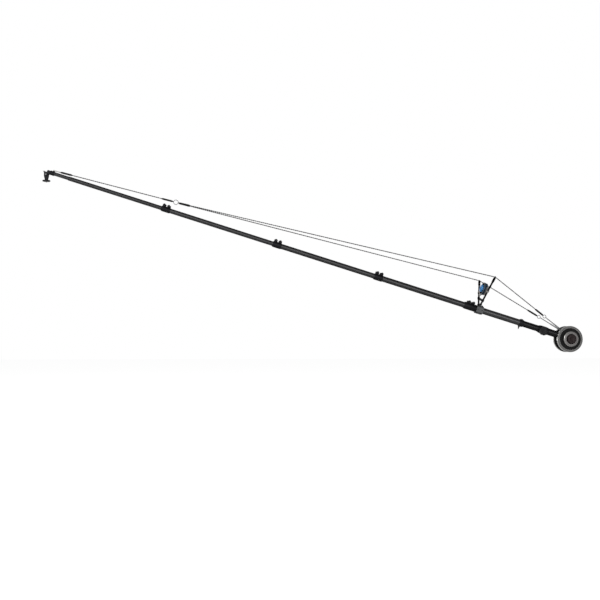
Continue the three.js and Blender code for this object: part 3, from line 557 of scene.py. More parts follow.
def piped(points, radius, sides, closed=False):
    """A round bar along a line of points."""
    mesh = bmesh.new()
    places = [Vector(point) for point in points]
    count = len(places)
    rows = []
    side = None
    for index, here in enumerate(places):
        ahead = places[(index + 1) % count] if closed else places[min(index + 1, count - 1)]
        behind = places[index - 1] if closed else places[max(index - 1, 0)]
        along = (ahead - behind).normalized()
        side = along.orthogonal() if side is None else side - along * side.dot(along)
        side.normalize()
        up = along.cross(side)
        around = [side * math.cos(angle) + up * math.sin(angle) for angle in round_angles(sides)]
        rows.append([mesh.verts.new(here + out * radius) for out in around])
    skinned(mesh, rows, closed)
    if not closed:
        mesh.faces.new(rows[0])
        mesh.faces.new(rows[-1])
    return mesh


def merged(*meshes):
    """Several bodies in one mesh."""
    whole = bmesh.new()
    for mesh in meshes:
        spare = bpy.data.meshes.new("spare")
        mesh.to_mesh(spare)
        whole.from_mesh(spare)
        mesh.free()
        bpy.data.meshes.remove(spare)
    return whole


def moved(mesh, matrix):
    bmesh.ops.transform(mesh, matrix=matrix, verts=mesh.verts)
    return mesh


def carried(node, matrix):
    """The CAD node's own shape, welded and freed of flat seams, in the frame of matrix."""
    mesh = bmesh.new()
    mesh.from_mesh(frame["nodes"][node].data)
    bmesh.ops.remove_doubles(mesh, verts=mesh.verts, dist=TENTH / 100)
    bmesh.ops.dissolve_limit(mesh, angle_limit=math.radians(0.6), verts=mesh.verts, edges=mesh.edges)
    return moved(mesh, matrix.inverted())


def grip_rows(radius, face, depth):
    """Rows of a lobed grip from its face outwards: flank, crown and a dished middle."""
    return [(radius * share, face + depth * along, lobed) for share, along, lobed in GRIP_ROWS]


def ring_mesh(radius, sides):
    """A ring of round wire, upright and in line with the arm."""
    points = [(radius * math.cos(angle), 0, radius * math.sin(angle)) for angle in round_angles(48)]
    return piped(points, RING_WIRE, sides, closed=True)


def sleeve_mesh():
    """A drawn-in sleeve with shallow rings and open mouths at its ends."""
    rows = [(SLEEVE_RADIUS * share, along * TENTH) for share, along in SLEEVE_ROWS]
    return turned([*rows, *((radius, SLEEVE_LENGTH - along) for radius, along in reversed(rows))], steps=28)


def wire_mesh(length):
    """Two strands laid round each other, drawn together at their ends."""
    lay, lay_steps, drawn, drawn_share, fit = 0.036, 8, 0.025, 0.4, 0.04
    radius = sizes().wire_radius * (1 + fit)
    full = sizes().wire_radius * (1 - fit)
    steps = round(length / lay * lay_steps)
    strands = []
    for start in (0, math.pi):
        points = []
        for step in range(steps + 1):
            along = length * step / steps
            free = min(along, length - along) / drawn
            apart = full * min(1.0, drawn_share + (1 - drawn_share) * free)
            angle = start + math.tau * along / lay
            points.append((along, apart * math.cos(angle), apart * math.sin(angle)))
        strands.append(piped(points, radius, sides=8))
    return merged(*strands)


def clip_mesh(half, radius):
    """A clip pressed over two strands, with drawn-in ends and a waist."""
    flat = Matrix.Diagonal((1, 0.8, 1, 1))
    outline = mirrored([
        (0, -half), (radius * 0.7, -half), *corner(radius * 0.9, -half, (0, 10)),
        *corner(radius, -half, (0, 30)), *corner(radius, 0, (0, -35)), *corner(radius * 0.93, 0, (0, -30)),
    ])
    return moved(turned(outline, steps=28), flat)


# Frames of the arm


def arm():
    """The frame of the tubes: X runs rearwards along their axis."""
    lift = Matrix.Rotation(sizes().arm_angle, 4, "Y")
    return lift @ Matrix.Translation((0, 0, sizes().axis_height))


def at(reach, out=0.0, height=0.0):
    return Vector((-reach, out, height))


def shifted(place, turn=None):
    """The arm's frame moved to a place on it, then turned."""
    return arm() @ Matrix.Translation(place) @ (turn or Matrix())


def aimed(start, direction):
    """A frame at start, in the arm's frame, whose X runs along direction."""
    return shifted(start, direction.to_track_quat("X", "Z").to_matrix().to_4x4())


def levelled(mesh, place, turn):
    """A mesh made in the arm's frame at a place, and the untilted frame that carries it."""
    level = Matrix.Translation(arm() @ place) @ turn
    return moved(mesh, level.inverted() @ shifted(place, turn)), level


TO_NEAR = Matrix.Rotation(-math.pi / 2, 4, "Z")
TO_FAR = Matrix.Rotation(math.pi / 2, 4, "Z")
TO_TOP = Matrix.Rotation(-math.pi / 2, 4, "Y")
TO_LOW = Matrix.Rotation(math.pi / 2, 4, "Y")


def post_top(side):
    return at(POST_REACH, side * POST_TOP[0], POST_TOP[1])


def section_rows():
    """(name, body, radius, front reach, rear reach) of each tube from the base outwards."""
    own = sizes()
    rows = [("base", "fulcrum", own.base_radius, BASE_FRONT, BASE_REAR)]
    front = BASE_FRONT
    for index, (name, exposed) in enumerate(EXPOSED.items()):
        rear = front - INSERT
        front += exposed
        rows.append((name, name, own.base_radius - own.tube_step * (index + 1), front, rear))
    return rows


# Pieces


def piece(name, mesh, matrix, finish, body, nodes=(), bevel=0.0, smooth=38.0, extra=()):
    """Makes an object of the mesh, finishes it and hangs it on a body of the frame."""
    bmesh.ops.recalc_face_normals(mesh, faces=mesh.faces)
    data = bpy.data.meshes.new(name)
    mesh.to_mesh(data)
    mesh.free()
    data.polygons.foreach_set("use_smooth", [True] * len(data.polygons))
    data.set_sharp_from_angle(angle=math.radians(smooth))
    for each in (finish, *extra):
        data.materials.append(finish_of(each))
    made = bpy.data.objects.new(name, data)
    bpy.context.scene.collection.objects.link(made)
    made.matrix_world = matrix
    if bevel:
        rounding = made.modifiers.new("rounding", "BEVEL")
        rounding.width = bevel
        rounding.segments = 2
        rounding.limit_method = "ANGLE"
        rounding.angle_limit = math.radians(smooth)
        rounding.harden_normals = True
    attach(made, body)
    if nodes:
        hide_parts(*nodes)
    return made


def trimmed(node, finish, body, tenths, matrix=None):
    """A piece with the CAD node's own shape, its edges rounded by tenths of a millimetre."""
    where = matrix or arm()
    return piece(f"{node}_body", carried(node, where), where, finish, body, [node], bevel=tenths * TENTH)


def sleeve(node, start, along, body):
    """A stay's sleeve from a place on, in the arm's frame."""
    return piece(f"{node}_cover", sleeve_mesh(), aimed(start, along), "rubber", body, [node])


def strand(node, start, along, length, body):
    """A stay's wire from a place on, in the arm's frame."""
    return piece(f"{node}_strand", wire_mesh(length), aimed(start, along), "wire", body, [node])


def ferrule(node, end, along):
    """A pressed ferrule over a wire's end."""
    steps = ((0, -5), (34, 0), (45, 10), (45, 70), (40, 80), (45, 90), (45, 160), (38, 180), (0, 185))
    mesh = turned(corner(0, 0, *steps), steps=24)
    return piece(f"{node}_ferrule", mesh, aimed(end, along), "steel", "fulcrum")


def travel(*names):
    """The sum of what these slides can move."""
    ranges = {joint["name"]: joint["range_m"] for joint in frame["joints"] if "range_m" in joint}
    return sum(max(abs(end) for end in ranges[name]) for name in names)


# Operators and the pieces they build


def add_camera(scene):
    across, height, yaw, pitch = -2.2941, -0.2406, math.radians(5.4), math.radians(2.79)
    eye = bpy.data.cameras.new("camera")
    eye.sensor_width = 36.0
    eye.lens = FOCAL_PIXELS / PICTURE_PIXELS * eye.sensor_width
    eye.clip_end = 100.0
    holder = bpy.data.objects.new("camera", eye)
    scene.collection.objects.link(holder)
    holder.location = (across, -sizes().camera_distance, height)
    holder.rotation_euler = (math.pi / 2 + pitch, 0, -yaw)
    scene.camera = holder


def add_lamps(scene):
    middle = Vector((-1.3, 0, 0.4))
    rows = (
        ("left lamp", (-11.0, -3.5, 5.0), 4.4, 4.4, 1100.0, 0.0),
        ("front lamp", (-1.3, -7.0, 1.0), 12.0, 3.2, 640.0, -sizes().arm_angle),
        ("rim lamp", (0.0, 2.2, 0.1), 1.1, 1.1, 16.0, 0.0),
    )
    for name, place, width, height, power, roll in rows:
        lamp = bpy.data.lights.new(name, "AREA")
        lamp.shape = "RECTANGLE"
        lamp.size = width
        lamp.size_y = height
        lamp.energy = power
        holder = bpy.data.objects.new(name, lamp)
        holder.location = place
        holder.visible_camera = False
        facing = (middle - Vector(place)).to_track_quat("-Z", "Y").to_matrix()
        holder.rotation_euler = (facing @ Matrix.Rotation(roll, 3, "Z")).to_euler()
        scene.collection.objects.link(holder)


def add_surroundings(scene):
    scene.world = bpy.data.worlds.new("white studio")
    sky = Finish(scene.world)
    soft = sky.add("ShaderNodeBackground", {}, {"Color": WHITE, "Strength": SOFT_LIGHT})
    white = sky.add("ShaderNodeBackground", {}, {"Color": WHITE, "Strength": 1.0})
    mixed = sky.add("ShaderNodeMixShader", {}, {0: sky.seen(), 1: soft, 2: white})
    sky.output(mixed, "ShaderNodeOutputWorld")


def add_floor(scene):
    half, level = 40.0, -1.30
    mesh = bmesh.new()
    corners = ((-1, -1), (1, -1), (1, 1), (-1, 1))
    mesh.faces.new([mesh.verts.new((x * half, y * half, level)) for x, y in corners])
    data = bpy.data.meshes.new("floor")
    mesh.to_mesh(data)
    mesh.free()
    data.materials.append(studio_floor())
    made = bpy.data.objects.new("floor", data)
    scene.collection.objects.link(made)


class CRANE_OT_stage(bpy.types.Operator):
    """Camera, lamps, white surroundings and floor"""

    bl_idname = "crane.stage"
    bl_label = "Stage"

    def execute(self, context):
        scene = context.scene
        scene.view_settings.view_transform = "Standard"
        add_camera(scene)
        add_lamps(scene)
        add_surroundings(scene)
        add_floor(scene)
        return {"FINISHED"}


def tube(node, body, radius, front, rear, finish, banded=False, darker=None):
    """A tube with chamfered ends, a raised band at its rear or a darker part from one place on."""
    wall = sizes().tube_wall
    bore, cut, band = radius - wall, wall / 4, radius + SEAT
    outer = [(radius - cut, -front), (radius, cut - front)]
    if banded:
        start = -rear - GLIDE_BAND
        outer += [(radius, start), (band, start + cut), (band, -rear - cut), (radius, -rear)]
    else:
        outer += [(radius, -darker)] if darker else []
        outer += [(radius, -rear - cut), (radius - cut, -rear)]
    inner = [(bore + cut, -rear), (bore, -rear - cut), (bore, cut - front), (bore + cut, -front)]
    mesh = turned([*outer, *inner], steps=72, closed=True)
    for face in mesh.faces:
        face.material_index = 1 if darker and face.calc_center_median().x > -darker else 0
    piece(f"{node}_shell", mesh, arm(), finish, body, [node], extra=("dark_carbon",) if darker else ())


class CRANE_OT_tubes(bpy.types.Operator):
    """Carbon tubes of the arm and the thin tip tube"""

    bl_idname = "crane.tubes"
    bl_label = "Tubes"

    def execute(self, context):
        base, *sections = section_rows()
        # The base tube takes the lighter copy of the carbon, a painted highlight
        tube("base_tube", *base[1:], "base_carbon", darker=COLLAR_REACH)
        for name, *row in sections:
            tube(f"{name}_tube", *row, "carbon", banded=True)
        inner = sections[-1][2] - sizes().tube_wall - SEAT
        tube("tip_tube", "section_1", inner, TIP_TUBE_FRONT, TIP_TUBE_REAR, "tip_grey")
        return {"FINISHED"}


def thumb_screw(node, place):
    """A thumb screw with a knurled head, a dished face and its shank through both ears."""
    head, length, neck, past = 0.0115, 0.012, 0.005, 0.0015
    end = -(2 * EAR_FACE + SEAT + past)
    outline = [
        (0, end), *corner(SHANK_RADIUS, end, (-6, 0), (0, 6)), *corner(SHANK_RADIUS, 0, (0, -2)),
        *corner(neck, 0, (0, 0), (6, 12)), *corner(head, 0, (-14, 34, 0.4), (0, 44, 1)),
        *corner(head, length, (0, -16, 1), (-14, -2, 0.4), (-26, 0), (-40, -12)),
        *corner(0, length, (26, -14), (20, -6), (0, -6)),
    ]
    mesh = turned(outline, 88, waves(22, KNURL_SHARE))
    piece(f"{node}_head", mesh, shifted(place, TO_NEAR), "plastic", node, [node], smooth=50.0)


class CRANE_OT_clamps(bpy.types.Operator):
    """Split clamps at the tube joints, with their thumb screws"""

    bl_idname = "crane.clamps"
    bl_label = "Clamps"

    def execute(self, context):
        for name, body, radius, front, _ in section_rows()[:-1]:
            trimmed(f"{name}_clamp", "black", body, 7)
            height = radius + CLAMP_WALL + THUMB_RISE
            for end, side in (("front", -1), ("rear", 1)):
                place = at(front - side * EAR_PITCH / 2, -EAR_FACE - SEAT, height)
                thumb_screw(f"{name}_screw_{end}", place)
        return {"FINISHED"}


def lock_screw():
    """The knurled screw on the block's top that bears on the base tube."""
    reach, head, height = -0.021, 0.0065, 0.009
    seat, foot = BLOCK_TOP + SEAT, sizes().base_radius + SEAT
    top = seat + height
    outline = [
        (0, foot), (SHANK_RADIUS, foot), (SHANK_RADIUS, seat),
        *corner(head, seat, (-10, 0, 0.5), (0, 10, 1)),
        *corner(head, top, (0, -12, 1), (-14, 0, 0.3), (-26, -6)), *corner(0, top, (0, -6)),
    ]
    mesh = turned(outline, 64, waves(16, KNURL_SHARE))
    node = "fulcrum_lock_screw"
    piece(f"{node}_head", mesh, shifted(at(reach), TO_TOP), "plastic", node, [node], smooth=50.0)


def bolt(name, place):
    """A small round bolt head with a six-sided socket."""
    head, height, socket, sink = 0.0042, 0.0030, 0.0022, 0.002
    outline = [
        (0, -sink), (head, -sink), *corner(head, height, (0, -6), (-6, 0)), (socket, height, 1),
        *corner(socket, 0, (0, 6, 1)), *corner(0, 0, (0, 6)),
    ]
    mesh = turned(outline, 36, waves(6, HEX_SHARE))
    piece(name, mesh, shifted(place, TO_NEAR), "black", "fulcrum", smooth=30.0)


class CRANE_OT_fulcrum(bpy.types.Operator):
    """Fulcrum block, mount plate, lock screw and accessory collar"""

    bl_idname = "crane.fulcrum"
    bl_label = "Fulcrum"

    def execute(self, context):
        block = trimmed("fulcrum_block", "block", "fulcrum", 12)
        block.data.materials.append(finish_of("black"))
        for face in block.data.polygons:
            face.material_index = 1 if face.center.z > BLOCK_TOP - SEAT else 0
        trimmed("mount_plate", "black", "fulcrum", 8)
        lock_screw()
        for index, reach in enumerate((-BOLT_REACH, BOLT_REACH)):
            bolt(f"block_bolt_{index}", at(reach, -BLOCK_SIDE, -BOLT_DROP))
        trimmed("accessory_collar", "black", "fulcrum", 7)
        trimmed("collar_lever", "plastic", "collar_lever", 6)
        return {"FINISHED"}


def drum_cup(centre):
    """The front half of the drum: a dark blue cup with a grey turned rim; its dark blue is painted shade.
    """
    start, floor, lip = -TENSION_SEAT, -CUP_FLOOR, CUP_RIM - CUP_END
    wall = [
        (DRUM_BORE, start),
        *corner(CUP_OUTER, start, (-15, 0), (0, -15), (0, -45), (-7, -50), (-7, -60), (0, -65)),
        (CUP_OUTER, lip), (CUP_INNER, lip), (CUP_INNER, floor), (DRUM_BORE, floor),
    ]
    rim = [
        (CUP_INNER, lip), (CUP_OUTER, lip), *corner(CUP_OUTER, -CUP_END, (0, 15), (-4.5, 4.5), (-15, 0)),
        *corner(CUP_INNER, -CUP_END, (7.5, 0), (0, 7.5)),
    ]
    mesh = turned(wall, 96, closed=True)
    piece("tension_ring_wall", mesh, centre, "drum", "fulcrum", ["tension_ring"], smooth=30.0)
    piece("tension_ring_rim", turned(rim, 96, closed=True), centre, "grey", "fulcrum", smooth=40.0)


def drum_painted_shade_liner(centre):
    """A thin dark ribbed sheet inside the cup: painted shade in its hollow."""
    skin, ribs = 0.0005, 12
    inner, floor, end = CUP_INNER - skin, -CUP_FLOOR, 2 * skin - CUP_END
    bore, face = DRUM_BORE + TENTH, floor - skin
    outline = [(bore, floor), (inner, floor), (inner, end), (inner - skin, end), (inner - skin, face)]
    for step in range(ribs, 0, -1):
        radius = KNOB_RADIUS + (inner - KNOB_RADIUS) * step / (ribs + 1)
        outline += corner(radius, face, (0, -2 if step % 2 else 0))
    outline.append((bore, face))
    mesh = turned(outline, 64, closed=True)
    piece("tension_ring_liner", mesh, centre, "rubber", "fulcrum", smooth=25.0)


def post(name, side):
    """A rod with a grooved cap and a ball on a thin neck."""
    rod, cap, neck, cap_length, neck_length = 0.008, 0.0105, 0.004, 0.046, 0.003
    foot = at(POST_REACH, side * POST_FOOT[0], POST_FOOT[1])
    top = post_top(side)
    length = (top - foot).length
    end = length - BALL_RADIUS - neck_length
    start = end - cap_length
    outline = [
        (0, 0), *corner(rod, 0, (-10, 0), (0, 10)), *corner(rod, start, (0, -10)),
        *corner(cap, start, (-8, 0), (0, 12), (0, 80), (-9, 90), (0, 100)),
        *corner(cap, end, (0, -100), (-9, -90), (0, -80), (0, -15), (-15, 0)), (neck, end),
        *corner(neck, length, (0, -60)),
    ]
    for step in range(1, BALL_STEPS):
        angle = math.pi * (BALL_NECK_SHARE + (1 - BALL_NECK_SHARE) * step / BALL_STEPS)
        outline.append((BALL_RADIUS * math.sin(angle), length - BALL_RADIUS * math.cos(angle)))
    outline.append((0, length + BALL_RADIUS))
    mesh = moved(turned(outline, steps=48), arm().inverted() @ aimed(foot, top - foot))
    piece(f"post_{name}_rod", mesh, arm(), "post", "fulcrum", [f"post_{name}"], smooth=30.0)


def tension_knob(centre):
    """The blue grip with its spindle."""
    spindle, sink, length = 0.006, 0.010, 0.027
    back, front = TENSION_SEAT + sink, -KNOB_FACE - length
    outline = [
        (0, back), (spindle, back), (spindle, -KNOB_FACE),
        *((KNOB_RADIUS * share, -KNOB_FACE - on * TENTH, lobed) for share, on, lobed in KNOB_ROWS),
        *corner(spindle * 1.1, -KNOB_FACE, (0, -236)), *corner(spindle, front, (0, 10)),
        *corner(0, front, (0, 10)),
    ]
    mesh = turned(outline, 140, waves(7, depth=0.112, power=2))
    piece("tension_knob_grip", mesh, centre, "blue", "tension_knob", ["tension_knob"], smooth=45.0)


def drum_hub(centre):
    """The rear half of the drum, with a sunken face and a round boss; its dark blue is painted shade."""
    outer, boss, length, socket = 0.055, 0.014, 0.011, 0.0061
    start, end, depth = TENSION_SEAT, TENSION_SEAT + length, TENSION_SEAT + socket
    face = ((0, -30), (-9, -9), (-30, 0), (-100, 0), (-115, -8), (-130, -30))
    outline = [
        (DRUM_BORE, start),
        *corner(outer, start, (-10, 0), (0, 10), (0, 35), (-7, 40), (-7, 50), (0, 55)),
        *corner(outer, end, *face), *corner(boss, end, (15, -30), (0, -8), (-8, 0)),
        *corner(0, end, (45, 0), (40, -12), (0, -12)), (0, depth), (DRUM_BORE, depth),
    ]
    mesh = turned(outline, 96, closed=True)
    piece("tension_hub_drum", mesh, centre, "drum", "tension_knob", ["tension_hub"], smooth=30.0)


class CRANE_OT_posts(bpy.types.Operator):
    """Posts in a V, brace, tensioner plate, drum and knob"""

    bl_idname = "crane.posts"
    bl_label = "Posts and tensioner"

    def execute(self, context):
        for name, side in (("near", -1), ("far", 1)):
            post(name, side)
        trimmed("post_brace", "black", "fulcrum", 8)
        trimmed("tension_plate", "plate", "fulcrum", 8)
        centre = shifted(at(POST_REACH, 0, TENSION_HEIGHT))
        drum_cup(centre)
        drum_painted_shade_liner(centre)
        tension_knob(centre)
        drum_hub(centre)
        return {"FINISHED"}


def camera_stud(level):
    """The platform's screw: flange, thread ridges and a rounded end."""
    core, ridge, flange = 0.0040, 0.0047, 0.009
    depth, length, turns, pitch = 0.004, 0.009, 6, 0.0016
    low, top, end = PLATFORM_LOW - SEAT, PLATFORM_LOW - depth, PLATFORM_LOW + length
    outline = [
        *corner(0, top, (0, -37)), *corner(ridge, top, (0, -37), (0, 0)), (flange, top), (flange, low),
    ]
    for turn in range(turns):
        start = low + turn * pitch
        outline += [(core, start), *corner(ridge, start, (0, 4)), *corner(core, start, (0, 8))]
    outline += [*corner(core, end, (0, -4), (-12, 0)), (0, end)]
    mesh = turned(outline, steps=32)
    piece("camera_stud_thread", mesh, level @ TO_LOW, "steel", "tip_head", ["camera_stud"], smooth=30.0)


def tip_lever(level, inner, outer):
    """The lock lever: a round hub and an arm that swells to its end, held by a socket screw."""
    wide, seat, rim, length, angle = 0.012, 0.0053, 0.0048, 0.031, math.radians(124)
    outline = [
        (seat, inner), *corner(wide, inner, (-8, 0), (0, 8)),
        *corner(wide, outer, (0, -30), (-30, 0), (-55, 0), (-62, -7)), *corner(0, outer, (0, -7)),
        *corner(0, inner, (0, 56)), *corner(seat, inner, (0, 56)),
    ]
    hub = moved(turned(outline, 48, closed=True), TO_NEAR)
    bar = turned([(thick * TENTH, length * share) for thick, share in LEVER_ROWS], steps=24)
    turn = Matrix.Rotation(-angle, 4, "Y")
    mesh = merged(hub, moved(bar, Matrix.Translation((0, -(inner + outer) / 2, 0)) @ turn))
    node = "tip_lock_lever"
    piece(f"{node}_grip", mesh, level, "plastic", node, [node], smooth=45.0)
    face = outer - 7 * TENTH
    screw = [
        *corner(0, face, (0, -10)), *corner(rim, face, (0, -10), (0, 2), (-5, 6)),
        *corner(rim / 2, face, (0, 6, 1), (0, -4, 1)), *corner(0, face, (0, -4)),
    ]
    mesh = moved(turned(screw, 36, waves(6, HEX_SHARE)), TO_NEAR)
    piece(f"{node}_screw", mesh, level, "steel", node, smooth=30.0)


class CRANE_OT_tip(bpy.types.Operator):
    """End cap, hanging head, stud, axle and lock lever"""

    bl_idname = "crane.tip"
    bl_label = "Tip"

    def execute(self, context):
        level = Matrix.Translation(arm() @ at(PIVOT_REACH, 0, -PIVOT_DROP))
        trimmed("tip_cap", "black", "section_1", 7, level)
        trimmed("tip_head", "black", "tip_head", 8, level)
        trimmed("tip_axle", "grey", "tip_head", 5, level)
        camera_stud(level)
        inner = CHEEK_FACE + CHEEK_THICKNESS + SEAT
        tip_lever(level, inner, inner + LEVER_HUB_LENGTH)
        return {"FINISHED"}


def side_stay(name, side, ring):
    """The sleeve and wire from the splitter ring to one post's top."""
    start = ring + Vector((SPLITTER_RADIUS + RING_WIRE + SEAT, side * SIDE_STAY_OUT, 0))
    along = (post_top(side) - start).normalized()
    length = (post_top(side) - start).length
    sleeve(f"side_sleeve_{name}", start, along, "section_2")
    first, last = SLEEVE_LENGTH + SEAT, length - BALL_RADIUS - SEAT
    node = f"side_wire_{name}"
    wire = strand(node, start + along * first, along, last - first, "fulcrum")
    slides = ("section_4_slide", "section_3_slide", "section_2_slide")
    keep = 1 - travel(*slides) / (abs(along.x) * (last - first))
    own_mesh(wire)
    ferrule(node, start + along * last, -along)


class CRANE_OT_front_stays(bpy.types.Operator):
    """Link, sleeves, splitter ring and the wires towards the tip"""

    bl_idname = "crane.front_stays"
    bl_label = "Front stays"

    def execute(self, context):
        ring = at(RING_REACH, 0, RING_HEIGHT)
        eye = at(LUG_REACH, 0, LUG_HEIGHT)
        along = (eye - ring).normalized()
        start = SPLITTER_RADIUS + RING_WIRE + SEAT
        end = (eye - ring).length + LUG_RADIUS - LINK_LENGTH - SEAT
        trimmed("tip_link", "plate", "section_1", 8, aimed(ring, along))
        sleeve("front_sleeve_tip", ring + along * (end - SLEEVE_LENGTH), along, "section_1")
        sleeve("front_sleeve_ring", ring + along * start, along, "section_2")
        mesh = ring_mesh(SPLITTER_RADIUS, sides=16)
        piece("splitter_ring_bar", mesh, shifted(ring), "ring", "section_2", ["splitter_ring"])
        first = start + SLEEVE_LENGTH + SEAT
        length = end - SLEEVE_LENGTH - SEAT - first
        wire = strand("front_wire", ring + along * first, along, length, "section_2")
        keep = 1 - travel("section_1_slide") / (abs(along.x) * length)
        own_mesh(wire)
        for name, side in (("near", -1), ("far", 1)):
            side_stay(name, side, ring)
        return {"FINISHED"}


def slacken(made, side):
    """Gives a rear piece a mesh of its own; the share it would keep as the tail slides in is worked out and
    not used.
    """
    keep = 1 - travel("tail_slide") / (POST_REACH - ANCHOR_REACH)
    arm() @ post_top(side)
    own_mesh(made)


def rear_stay(name, side, eye):
    """The wire, sleeve and ring from one post's top; the place where the bridle begins."""
    top = post_top(side)
    along = (eye - top).normalized()
    reach = (eye - top).length * REAR_SLEEVE_SHARE
    first = BALL_RADIUS + SEAT
    node = f"rear_wire_{name}"
    slacken(strand(node, top + along * first, along, reach - SEAT - first, "fulcrum"), side)
    ferrule(node, top + along * first, along)
    node = f"rear_shackle_{name}"
    slacken(sleeve(node, top + along * reach, along, "fulcrum"), side)
    middle = top + along * (reach + SLEEVE_LENGTH + SHACKLE_RADIUS)
    mesh = ring_mesh(SHACKLE_RADIUS, sides=14)
    slacken(piece(f"{node}_ring", mesh, shifted(middle), "ring", "fulcrum"), side)
    return middle + along * (SHACKLE_RADIUS + RING_WIRE + SEAT)


def bridle(eye, near, far):
    """Two strands one above the other from ring to ring, through the anchor's eye, and their clips."""
    strand_radius, apart, steps = 0.0021, 0.0022, 8
    edge = Vector((0, ANCHOR_HALF + SEAT + sizes().wire_radius, 0))
    shares = [step / steps for step in range(steps + 1)]
    points = [near.lerp(eye - edge, share) for share in shares]
    points += [eye - edge * math.cos(math.pi * step / 4) for step in range(1, 4)]
    points += [(eye + edge).lerp(far, share) for share in shares]
    lifts = [Vector((0, 0, side * apart)) for side in (-1, 1)]
    strands = [piped([point + lift for point in points], strand_radius, sides=12) for lift in lifts]
    made = piece("rear_bridle_wire", merged(*strands), arm(), "bridle", "fulcrum", ["rear_bridle"])
    slacken(made, -1)
    for name, start, end in (("near", eye - edge, near), ("far", eye + edge, far)):
        for place, (share, half, radius) in BRIDLE_CLIPS.items():
            where = aimed(start + (end - start) * share, (end - start).normalized())
            clip = f"rear_bridle_{name}_{place}_clip"
            slacken(piece(clip, clip_mesh(half, radius), where, "bridle", "fulcrum"), -1)


class CRANE_OT_rear_stays(bpy.types.Operator):
    """Wires, shackled sleeves and the bridle towards the tail"""

    bl_idname = "crane.rear_stays"
    bl_label = "Rear stays"

    def execute(self, context):
        centre = at(ANCHOR_REACH, 0, ANCHOR_HEIGHT)
        slack = ANCHOR_HOLE - sizes().wire_radius - SEAT
        eye = centre + (at(POST_REACH, 0, POST_TOP[1]) - centre).normalized() * slack
        near, far = (rear_stay(name, side, eye) for name, side in (("near", -1), ("far", 1)))
        bridle(eye, near, far)
        return {"FINISHED"}


def tail_sleeve():
    """A tube with a groove near its end and a sunken end plate."""
    front, end, bore = SEAT - TAIL_CLAMP_REACH, -TAIL_END, TAIL_RADIUS - TAIL_WALL
    groove = ((0, -140), (-8, -130), (-8, -120), (0, -110))
    outline = [
        (bore, front), (TAIL_RADIUS, front),
        *corner(TAIL_RADIUS, end, *groove, (0, -20), (-20, 0), (-100, 0), (-110, -10)),
        *corner(0, end, (0, -10), (0, -60)), *corner(bore, end, (0, -60)),
    ]
    mesh = turned(outline, 72, closed=True)
    piece("tail_sleeve_shell", mesh, arm(), "dark_carbon", "tail", ["tail_sleeve"])


def tail_knob():
    """The lobed clamp knob on the near side, with its screw."""
    radius, length, ahead, wall, boss = 0.038, 0.018, 0.010, 0.0055, 0.009
    face = TAIL_RADIUS + SEAT + wall + boss + SEAT
    low = TAIL_SCREW_DROP - SHANK_RADIUS
    contact = math.sqrt((sizes().base_radius + SEAT) ** 2 - low ** 2)
    outline = [
        (0, contact), (SHANK_RADIUS, contact), *corner(SHANK_RADIUS, face, (0, -1)),
        *grip_rows(radius, face, length), *corner(0, face, (75, 172), (60, 166), (0, 166)),
    ]
    where = shifted(at(TAIL_CLAMP_REACH + ahead, 0, -TAIL_SCREW_DROP), TO_NEAR)
    mesh = turned(outline, 144, waves(6, depth=0.10, power=2))
    piece("tail_knob_grip", mesh, where, "plastic", "tail_knob", ["tail_knob"], smooth=45.0)


class CRANE_OT_tail(bpy.types.Operator):
    """Tail sleeve, its clamp and knob, and the stay anchor"""

    bl_idname = "crane.tail"
    bl_label = "Tail"

    def execute(self, context):
        tail_sleeve()
        trimmed("tail_clamp", "black", "tail", 10)
        trimmed("stay_anchor", "black", "tail", 6)
        tail_knob()
        return {"FINISHED"}


def weight_bar(place, half):
    radius = 0.0125
    outline = mirrored([(0, -half), *corner(radius, -half, (-15, 0), (0, 15))])
    mesh, where = levelled(turned(outline, steps=48), place, TO_FAR)
    piece("weight_bar_rod", mesh, where, "grey", "tail", ["weight_bar"])


def disc(node, place, turn, radius, inner, outer, finish, rim, recess, soft):
    """A cast disc: bored hub, sunken face with a raised ring, and a thick rounded rim; the sunken face and
    the inward face are near black as painted shade.
    """
    steps = 6
    hub, waist, floor = DISC_BORE + rim / 2, radius - rim, outer - recess
    groove, middle = radius - soft / 2, (hub + waist) / 2
    rounding = [math.pi / 2 * step / steps for step in range(steps + 1)]
    outline = [
        *corner(DISC_BORE, inner, (0, 8), (8, 0)), *corner(radius, inner, (-30, 0), (-9, 9), (0, 30)),
        *((radius - soft * (1 - math.cos(a)), outer - soft * (1 - math.sin(a))) for a in rounding),
        *((groove - rim * share, outer - depth) for share, depth in GROOVE_ROWS),
        *corner(waist, outer, (10, 0), (0, -10)), *corner(waist, floor, (-30, 10), (-40, 0)),
        *corner(middle, floor, (40, 0), (30, 12), (10, 12), (0, 0)),
        *corner(hub, floor, (40, 0), (30, 10)), *corner(hub, outer, (0, -10), (-10, 0)),
        *corner(DISC_BORE, outer, (12, 0), (0, -12)),
    ]
    mesh = turned(outline, 120, closed=True)
    # The sunken faces and the inward face, which looks towards the tail, take the near-black finish as
    # painted shade
    for face in mesh.faces:
        along, *across = face.calc_center_median()
        out = math.hypot(*across)
        sunken = hub < out < waist and inner + 10 * TENTH < along < outer - 8 * TENTH
        if sunken or along < inner + 5 * TENTH:
            face.material_index = 1
        # The rounded rim takes the lighter metal as painted light
        elif out > radius - soft * 0.4:
            face.material_index = 2
    mesh, where = levelled(mesh, place, turn)
    piece(f"{node}_casting", mesh, where, finish, "tail", [node], smooth=34.0, extra=("web", "edge"))


def nut(node, place, turn, face):
    """A lobed hand nut with a raised round cap and a blind bore."""
    radius, length = 0.042, 0.022
    bottom = face + length / 2
    outline = [
        (0, bottom), (DISC_BORE, bottom), (DISC_BORE, face), *grip_rows(radius, face, length),
        *corner(0, face + length, (200, -30), (202, 30), (185, 50), (120, 50), (105, 44), (0, 44)),
    ]
    mesh, where = levelled(turned(outline, 160, waves(8, depth=0.09, power=2)), place, turn)
    piece(f"{node}_grip", mesh, where, "nut", node, [node], smooth=45.0)


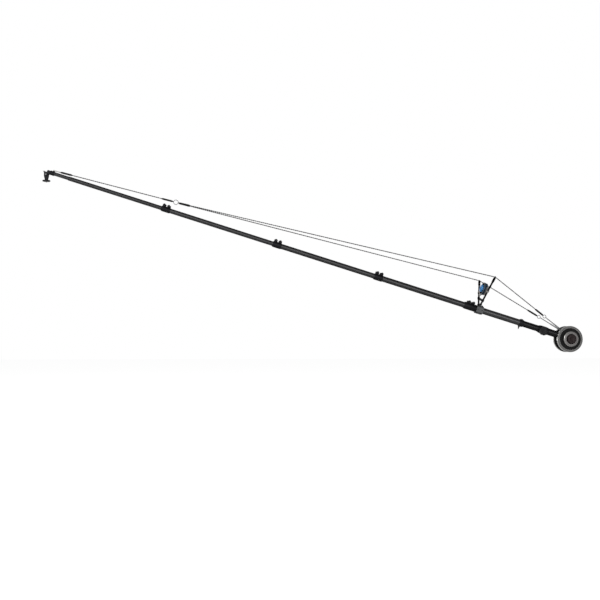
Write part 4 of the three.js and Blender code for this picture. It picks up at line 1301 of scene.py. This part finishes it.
class CRANE_OT_weights(bpy.types.Operator):
    """Weight bar, discs and lobed nuts"""

    bl_idname = "crane.weights"
    bl_label = "Counterweights"

    def execute(self, context):
        place = at(WEIGHT_REACH, 0, -WEIGHT_DROP)
        rows = (
            ("large", sizes().disc_radius, 0.023, "disc", 0.021, 0.006, 0.005),
            ("small", 0.068, 0.025, "small_disc", 0.022, 0.007, 0.009),
        )
        weight_bar(place, DISC_INNER + sum(row[2] for row in rows) + SEAT + BAR_IN_NUT)
        for name, turn in (("near", TO_NEAR), ("far", TO_FAR)):
            inner = DISC_INNER
            for size, radius, thickness, *looks in rows:
                outer = inner + thickness
                disc(f"disc_{size}_{name}", place, turn, radius, inner, outer, *looks)
                inner = outer + SEAT
            nut(f"weight_nut_{name}", place, turn, inner)
        return {"FINISHED"}


class CRANE_PT_panel(bpy.types.Panel):
    """Steps that build the jib arm"""

    bl_label = "Jib arm"
    bl_idname = "CRANE_PT_panel"
    bl_space_type = "VIEW_3D"
    bl_region_type = "UI"
    bl_category = "Jib arm"

    def draw(self, context):
        for group in (context.scene.crane_sizes, context.scene.crane_colours):
            for name in group.__annotations__:
                self.layout.prop(group, name)
        for operator in operators:
            self.layout.operator(operator.bl_idname)


operators = (
    CRANE_OT_stage,
    CRANE_OT_tubes,
    CRANE_OT_clamps,
    CRANE_OT_fulcrum,
    CRANE_OT_posts,
    CRANE_OT_tip,
    CRANE_OT_front_stays,
    CRANE_OT_rear_stays,
    CRANE_OT_tail,
    CRANE_OT_weights,
)
classes = (CraneSizes, CraneColours, *operators, CRANE_PT_panel)


def register():
    for cls in classes:
        bpy.utils.register_class(cls)
    bpy.types.Scene.crane_sizes = PointerProperty(type=CraneSizes)
    bpy.types.Scene.crane_colours = PointerProperty(type=CraneColours)


def unregister():
    del bpy.types.Scene.crane_colours
    del bpy.types.Scene.crane_sizes
    for cls in reversed(classes):
        bpy.utils.unregister_class(cls)


def main():
    register()
    for operator in operators:
        group, name = operator.bl_idname.split(".")
        getattr(getattr(bpy.ops, group), name)()
    bpy.context.view_layer.update()


if __name__ == "__main__":
    main()
